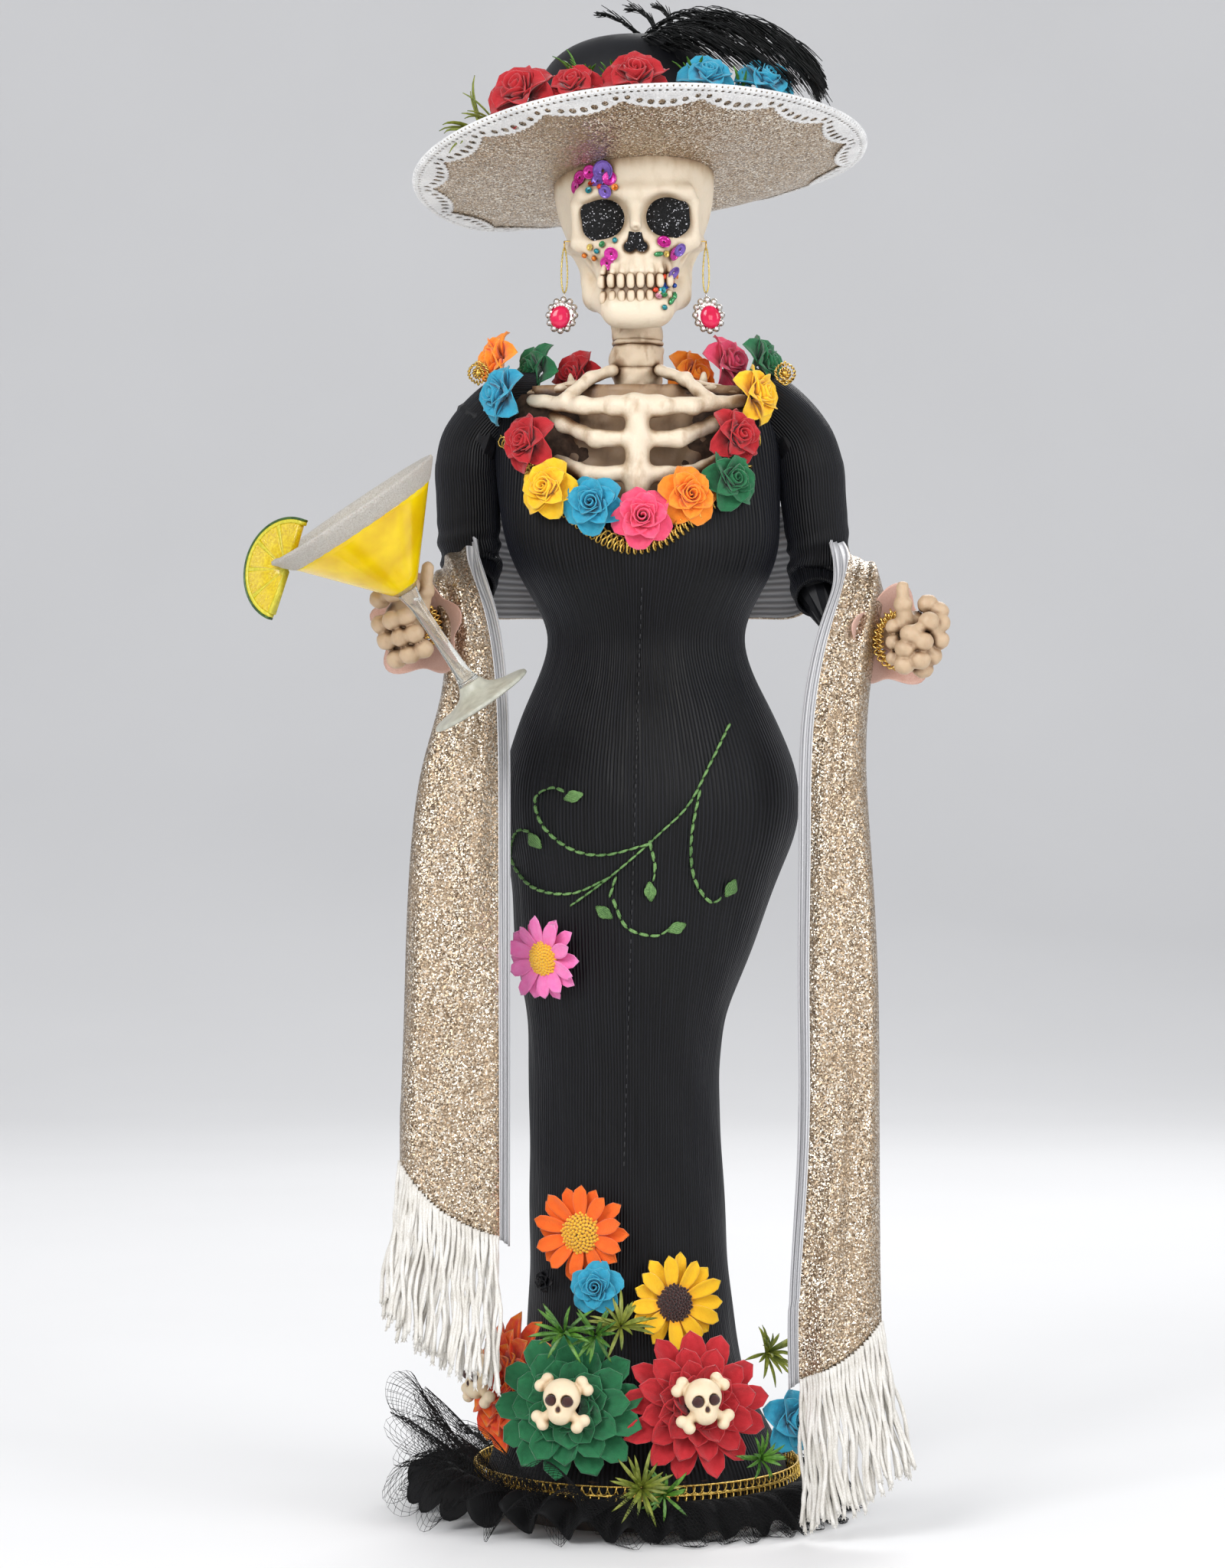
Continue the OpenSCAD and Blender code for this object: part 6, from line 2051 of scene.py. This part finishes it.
# %% Gold braid
def coiled(heap, line, radius, turns, thick, finish=0, flat=0.45, cords=True):
    """A flattened coil along a line, with edge cords; the up side leans outwards."""
    line = np.array(line, float)
    far = np.concatenate([[0], np.cumsum(np.linalg.norm(np.diff(line, axis=0), axis=1))])
    count = turns * 8
    spots = np.linspace(0, far[-1], count + 1)
    spine = np.stack([np.interp(spots, far, line[:, k]) for k in range(3)], 1)
    coil, cord_a, cord_b = [], [], []
    for i, p in enumerate(spine):
        ahead = spine[min(i + 1, count)] - spine[max(i - 1, 0)]
        ahead = ahead / np.linalg.norm(ahead)
        out = np.array((p[0], p[1], 0)) / max(np.hypot(p[0], p[1]), 1e-6)
        over = np.cross(ahead, out)
        over = over / np.linalg.norm(over)
        a = TAU * i / 8
        coil.append(p + radius * (math.cos(a) * over + flat * math.sin(a) * out)
                    + ahead * radius * 0.5 * math.sin(a))
        cord_a.append(p + over * radius * 0.95)
        cord_b.append(p - over * radius * 0.95)
    heap.tube(np.array(coil), thick, 5, finish=finish)
    if cords:
        for cord in (cord_a[::3], cord_b[::3]):
            heap.tube(np.array(cord), thick * 1.15, 5, finish=finish)


def neckline(a, drop):
    """Point of the neckline seen from the front, in degrees from its left end."""
    s, c = math.sin(math.radians(a)), math.cos(math.radians(a))
    x = (47 + drop * 1.5) * c * (0.52 + 0.48 * (1 - s) ** 1.2) - 1
    z = min(412 - (54 + drop) * s ** 0.8, 409)
    return cloth_front(x * MM, z * MM, 0.0008)


braid = Heap()
for drop, turns in ((6.5, 58), (8.3, 66)):
    coiled(braid, [neckline(a, drop)[:] for a in range(15, 167, 3)], 2.1 * MM, turns, 0.34 * MM,
           cords=False)
for part in islands("neck_braid"):
    if np.ptp(part[:, 0]) < 0.012 and abs(part[:, 0].mean()) > 0.045:
        centre = Vector((part.max(0) + part.min(0)) / 2)
        for ring_r, turns in ((3.4, 16), (1.7, 9)):
            ring = [(centre.x + ring_r * MM * math.cos(a), centre.y - 0.0012,
                     centre.z + ring_r * MM * math.sin(a)) for a in np.linspace(0, TAU, 30)]
            coiled(braid, ring, 1.0 * MM, turns, 0.3 * MM, cords=False)
        bead(braid, centre + Vector((0, -0.0012, 0)), (1.3 * MM,) * 3, None, 0, 6, 10)
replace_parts(braid.piece("neck_gimp", ["gold_braid"], "gold_braid"), "neck_braid")

hem_gold = Heap()
for z, turns in ((12.8, 120), (16.2, 120)):
    ring = [(0.0592 * math.cos(a), 0.0592 * math.sin(a), z * MM) for a in np.linspace(0, TAU, 120)]
    coiled(hem_gold, ring, 1.6 * MM, turns, 0.3 * MM)
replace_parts(hem_gold.piece("hem_gimp", ["gold_braid"], "gold_braid"), "hem_braid")

# %% [markdown]
# ### Embroidered vine
#
# Green yarn is stitched through the cloth in long and short runs. At each tip,
# a few stitches lie side by side and make a leaf.

# %% Vine
stems = [
    [(33, 287), (26, 273), (18, 258), (8, 248), (-3, 238), (-14, 229), (-25, 221)],
    [(4, 244), (-12, 240), (-24, 242), (-34, 250), (-37, 260), (-31, 264), (-25, 262)],
    [(-10, 232), (-24, 226), (-38, 228), (-46, 238), (-44, 248), (-38, 248)],
    [(22, 263), (19, 246), (20, 232), (26, 223), (32, 226)],
    [(4, 245), (6, 236), (5, 230)], [(-8, 232), (-11, 222)],
    [(-9, 224), (-4, 214), (6, 211), (12, 214)]]
leaves = [(-23, 261, 15), (-37, 245, -50), (33.5, 228, 60), (4.5, 227, -85), (-12, 219.5, -35),
          (14, 214, 20)]
vine = Heap()
for stem_points in stems:
    flat_line = smooth_line([(x, 0, z) for x, z in stem_points], 8)
    on_cloth = np.array([cloth_front(x * MM, z * MM, 0.0004)[:] for x, _, z in flat_line])
    stitches(vine, on_cloth, 0.0034, 0.0007, 0.00042, rise=0.7)
    stitches(vine, on_cloth + np.array((0.0004, 0, 0.0003)), 0.0027, 0.0014, 0.00036, rise=0.9)
for x, z, lean in leaves:
    c, s = math.cos(math.radians(lean)), math.sin(math.radians(lean))
    for n in range(-3, 4):
        reach = 3.6 * (1 - (n / 4.2) ** 2)
        run = []
        for t in np.linspace(-1, 1, 6):
            u, v = t * reach, n * 0.62 * (1 - 0.35 * t * t)
            p = cloth_front((x + u * c - v * s) * MM, (z + u * s + v * c) * MM, 0.0002)
            run.append(np.array((p + cloth_normal(p) * 0.0007 * (1 - t * t))[:]))
        vine.tube(np.array(run), [0.00022] + [0.00038] * 4 + [0.00022], 6)
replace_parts(vine.piece("stitched_vine", ["green_stitch"], "green_stitch"), "vine")

# %% [markdown]
# ### Fringe
#
# Each strand is a two-ply cord that hangs from the hem of the stole, wavers on
# its way down and frays at the end. Its foot leans a little away from the body.

# %% Fringe
def strand(heap, top, foot, radius, sway, finish=0):
    """A two-ply hanging cord from top to foot."""
    rows, plies = 30, 8
    phase = dice.uniform(0, TAU)
    points, uv = [], []
    line = []
    for i in range(rows):
        t = i / (rows - 1)
        drop = np.array(top) * (1 - t) + np.array(foot) * t
        out = np.array(foot) - np.array(top)
        drop[:2] -= out[:2] * 0.35 * t * (1 - t)
        drop[0] += sway * math.sin(phase + 9 * t) * t * (1.3 - t)
        drop[1] += sway * 0.8 * math.cos(phase * 1.7 + 8 * t) * t * (1.2 - t)
        line.append(drop)
    for i, p in enumerate(line):
        for k in range(plies):
            a = TAU * k / plies
            r = radius * (1 + 0.32 * abs(math.cos(a - i * 0.85)))
            points.append(p + np.array((r * math.cos(a), r * math.sin(a), 0)))
            uv.append((k / plies, i / rows))
    heap.add(points, grid_faces(rows, plies, wrap=True)
             + [tuple(range(plies))[::-1], tuple((rows - 1) * plies + k for k in range(plies))],
             uv, finish)
    for _ in range(3):
        tip = line[-1] + np.array((dice.uniform(-1, 1), dice.uniform(-1, 1), -1.2)) * radius * 1.7
        heap.tube(np.array([line[-1] + (0, 0, radius), (line[-1] + tip) / 2 + (0, 0, 0.0002), tip]),
                  [radius * 0.5, radius * 0.4, radius * 0.15], 5, finish=finish)


def fringe(side, hem_line, lean):
    heap = Heap()
    far = np.concatenate([[0], np.cumsum(np.linalg.norm(np.diff(hem_line, axis=0), axis=1))])
    count = int(far[-1] / 0.0015)
    for layer in range(2):
        for n in range(count):
            spot = (n + 0.5 * layer + dice.uniform(-0.2, 0.2)) / count * far[-1]
            top = np.array([np.interp(spot, far, hem_line[:, k]) for k in range(3)])
            top[1] += 0.0008 * (1 - 2 * layer)
            top[2] += 0.001
            share = spot / far[-1]
            long = min(0.052 * dice.uniform(0.88, 1.02), top[2] - 0.0035)
            foot = top + np.array((lean[0] * (1 - share) + dice.uniform(-0.002, 0.002),
                                   lean[1] * dice.uniform(0.75, 1.1), -long))
            strand(heap, top, foot, 0.00062, 0.0024)
    made = heap.piece("fringe_strands_" + side, ["ivory_yarn"], "ivory_yarn")
    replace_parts(made, "fringe_" + side)
    return made


hem_first = np.array([stole.data.vertices[k].co[:] for k in range(stole_cols)])
last_row = (stole_rows - 1) * stole_wide
hem_last = np.array([stole.data.vertices[last_row + k].co[:] for k in range(stole_cols)])
fringe_pieces = [fringe("right", hem_first, (-0.005, -0.020)),
                 fringe("left", hem_last, (0.010, -0.010))]

# %% [markdown]
# ### Charms
#
# A little skull on two crossed bones, cast once as a distance field and set on
# the middle of each big flower.

# %% Charms
def charm_field(x, y, z):
    f = None
    for lean in (42, 138):
        c, s = math.cos(math.radians(lean)), math.sin(math.radians(lean))
        bone_rod = rod(x, y, z, (-8 * c, -8 * s, 1.2), (8 * c, 8 * s, 1.2), 1.35)
        f = bone_rod if f is None else melt(f, bone_rod, 0.8)
        for end in sides:
            for knob in sides:
                p = (end * 8.6 * c - knob * 1.5 * s, end * 8.6 * s + knob * 1.5 * c, 1.4)
                f = melt(f, ball(x, y, z, p, 1.9), 0.8)
    f = melt(f, ball(x, y, z, (0, 1.8, 2.6), (5.8, 5.6, 4.4)), 0.6)
    f = melt(f, ball(x, y, z, (0, -3.6, 2.6), (3.7, 3.2, 3.4)), 1.2)
    f = carve(f, ball(x, y, z, (0, 5.4, 7.2), 0.9), 0.3)
    for s in sides:
        f = carve(f, ball(x, y, z, (s * 2.4, 0.4, 6.2), (1.7, 1.8, 2.4)), 0.4)
    f = carve(f, rod(x, y, z, (0, -1.6, 6.4), (0, -2.6, 6.2), 0.7, 1.0), 0.3)
    for n in range(-2, 3):
        f = carve(f, rod(x, y, z, (n * 1.15, -4.2, 6.3), (n * 1.15, -5.8, 5.6), 0.3), 0.15)
    return np.maximum(f, -z - 0.4)


charm_points, charm_faces = net_skin(charm_field, (-12, -11, -1.4), (12, 11, 8.5), 0.4)
charms = Heap()
for (base, direction), name in ((green_spot, "mum_green"), (red_spot, "mum_red"),
                                (fire_spot, "fire_flower")):
    place = base + direction * 0.0135
    up = Vector((0, 0, 1)) - direction * direction.z
    turn = Matrix((up.cross(direction).normalized(), up.normalized(), direction)).transposed()
    tip = Matrix.Rotation(0.1 if name == "mum_red" else -0.05, 3, direction)
    moved = [tuple(place + tip @ turn @ Vector(p) * MM * 1.15) for p in charm_points]
    charms.add(moved, charm_faces)
    for s in sides:
        eye = place + tip @ turn @ Vector((s * 3.0, 0.3, 6.1)) * MM
        bead(charms, eye, (2.2 * MM, 1.9 * MM, 1.4 * MM), tip @ turn, 1, 6, 12)
    nose = place + tip @ turn @ Vector((0, -2.5, 6.4)) * MM
    bead(charms, nose, (0.8 * MM, 1.0 * MM, 0.7 * MM), tip @ turn, 1, 6, 8)
charms.piece("skull_and_bones_charms", ["charm_bone", "seed_brown"], "bone_cream",
             replaces=["skull_charms"])

# %% Hem greens
tufts = Heap()
spray_spots = [((-26, -66, 73), (-0.2, -1, 0.5), 26, 13), ((-6, -62, 75), (0.1, -1, 0.5), 26, 14),
               ((-15, -64, 72), (0, -1, 0.3), 18, 12), ((1, -72, 20), (0.1, -1, 0.1), 30, 14),
               ((9, -70, 17), (0.4, -1, 0.1), 16, 11), ((46, -38, 62), (0.6, -1, 0.5), 26, 13),
               ((43, -60, 28), (0.6, -1, 0.2), 20, 11)]
for n, (spot, lean, count, long) in enumerate(spray_spots):
    grass(tufts, Vector(spot) * MM, lean, count, long * MM, n % 2, 1.5, 0.0013)
thicken(tufts.piece("green_tufts", ["green_spray", "olive_leaf"], "green_spray",
                    replaces=["hem_greens"]), 0.0003, 0)

# %% [markdown]
# ### Tulle flounce
#
# The hem ends in a gathered flounce of black net. The net is real: a slanted
# grid whose edges the Wireframe modifier turns into threads. A closer, gathered
# layer behind it keeps the middle dark, as many folds of net do.

# %% Tulle
def lifted(a):
    """How much the flounce stands up, most at the right of the figure."""
    return max(0.0, math.cos(a - math.radians(195))) ** 1.3


def flounce_at(a, t, waves, deep, reach, phase=0.0, rise=1.0):
    """Point of a gathered ruffle: t runs from the sewn edge to the free edge."""
    fold = math.sin(waves * a + 1.7 * math.sin(3 * a + phase) + phase)
    lift = lifted(a)
    deep = deep * (1 + 0.9 * lift)
    r = 59.5 + reach * t ** 0.8 + 0.8 * deep * fold * t + 8 * lift * t
    z = (12.5 + 4 * math.sin(math.pi * t) - 11 * t * (1 - lift * rise) + 32 * lift * t ** 1.3 * rise
         + deep * math.sin(waves * a + 1.2) * t)
    return Vector((r * math.cos(a) * MM, r * math.sin(a) * MM, max(z, 0.9) * MM))


def flounce(name, rows, cols, waves, deep, reach, phase, rise=1.0, slant=0.5):
    points = []
    for i in range(rows):
        for k in range(cols):
            a = TAU * (k + slant * i) / cols
            points.append(flounce_at(a, i / (rows - 1), waves, deep, reach, phase, rise))
    made = new_piece(name, points, grid_faces(rows, cols, wrap=True))
    wear(made, "black_net")
    return made


under = flounce("flounce_lining", 14, 420, 31, 3.2, 13, 0.4, 0.2)
thicken(under, 0.0003, 0)
nets = []
for n, (waves, deep, reach, phase, rise) in enumerate((
        (19, 4.2, 20, 1.1, 1.0), (23, 4.4, 19, 2.6, 0.6), (21, 4.6, 20, 4.0, 0.2))):
    net = flounce("tulle_net_" + str(n + 1), 16, 330, waves, deep, reach, phase, rise)
    threads = net.modifiers.new("threads", "WIREFRAME")
    threads.thickness = 0.00022
    threads.use_even_offset = False
    nets.append(net)
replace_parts(nets[0], "tulle_flounce")
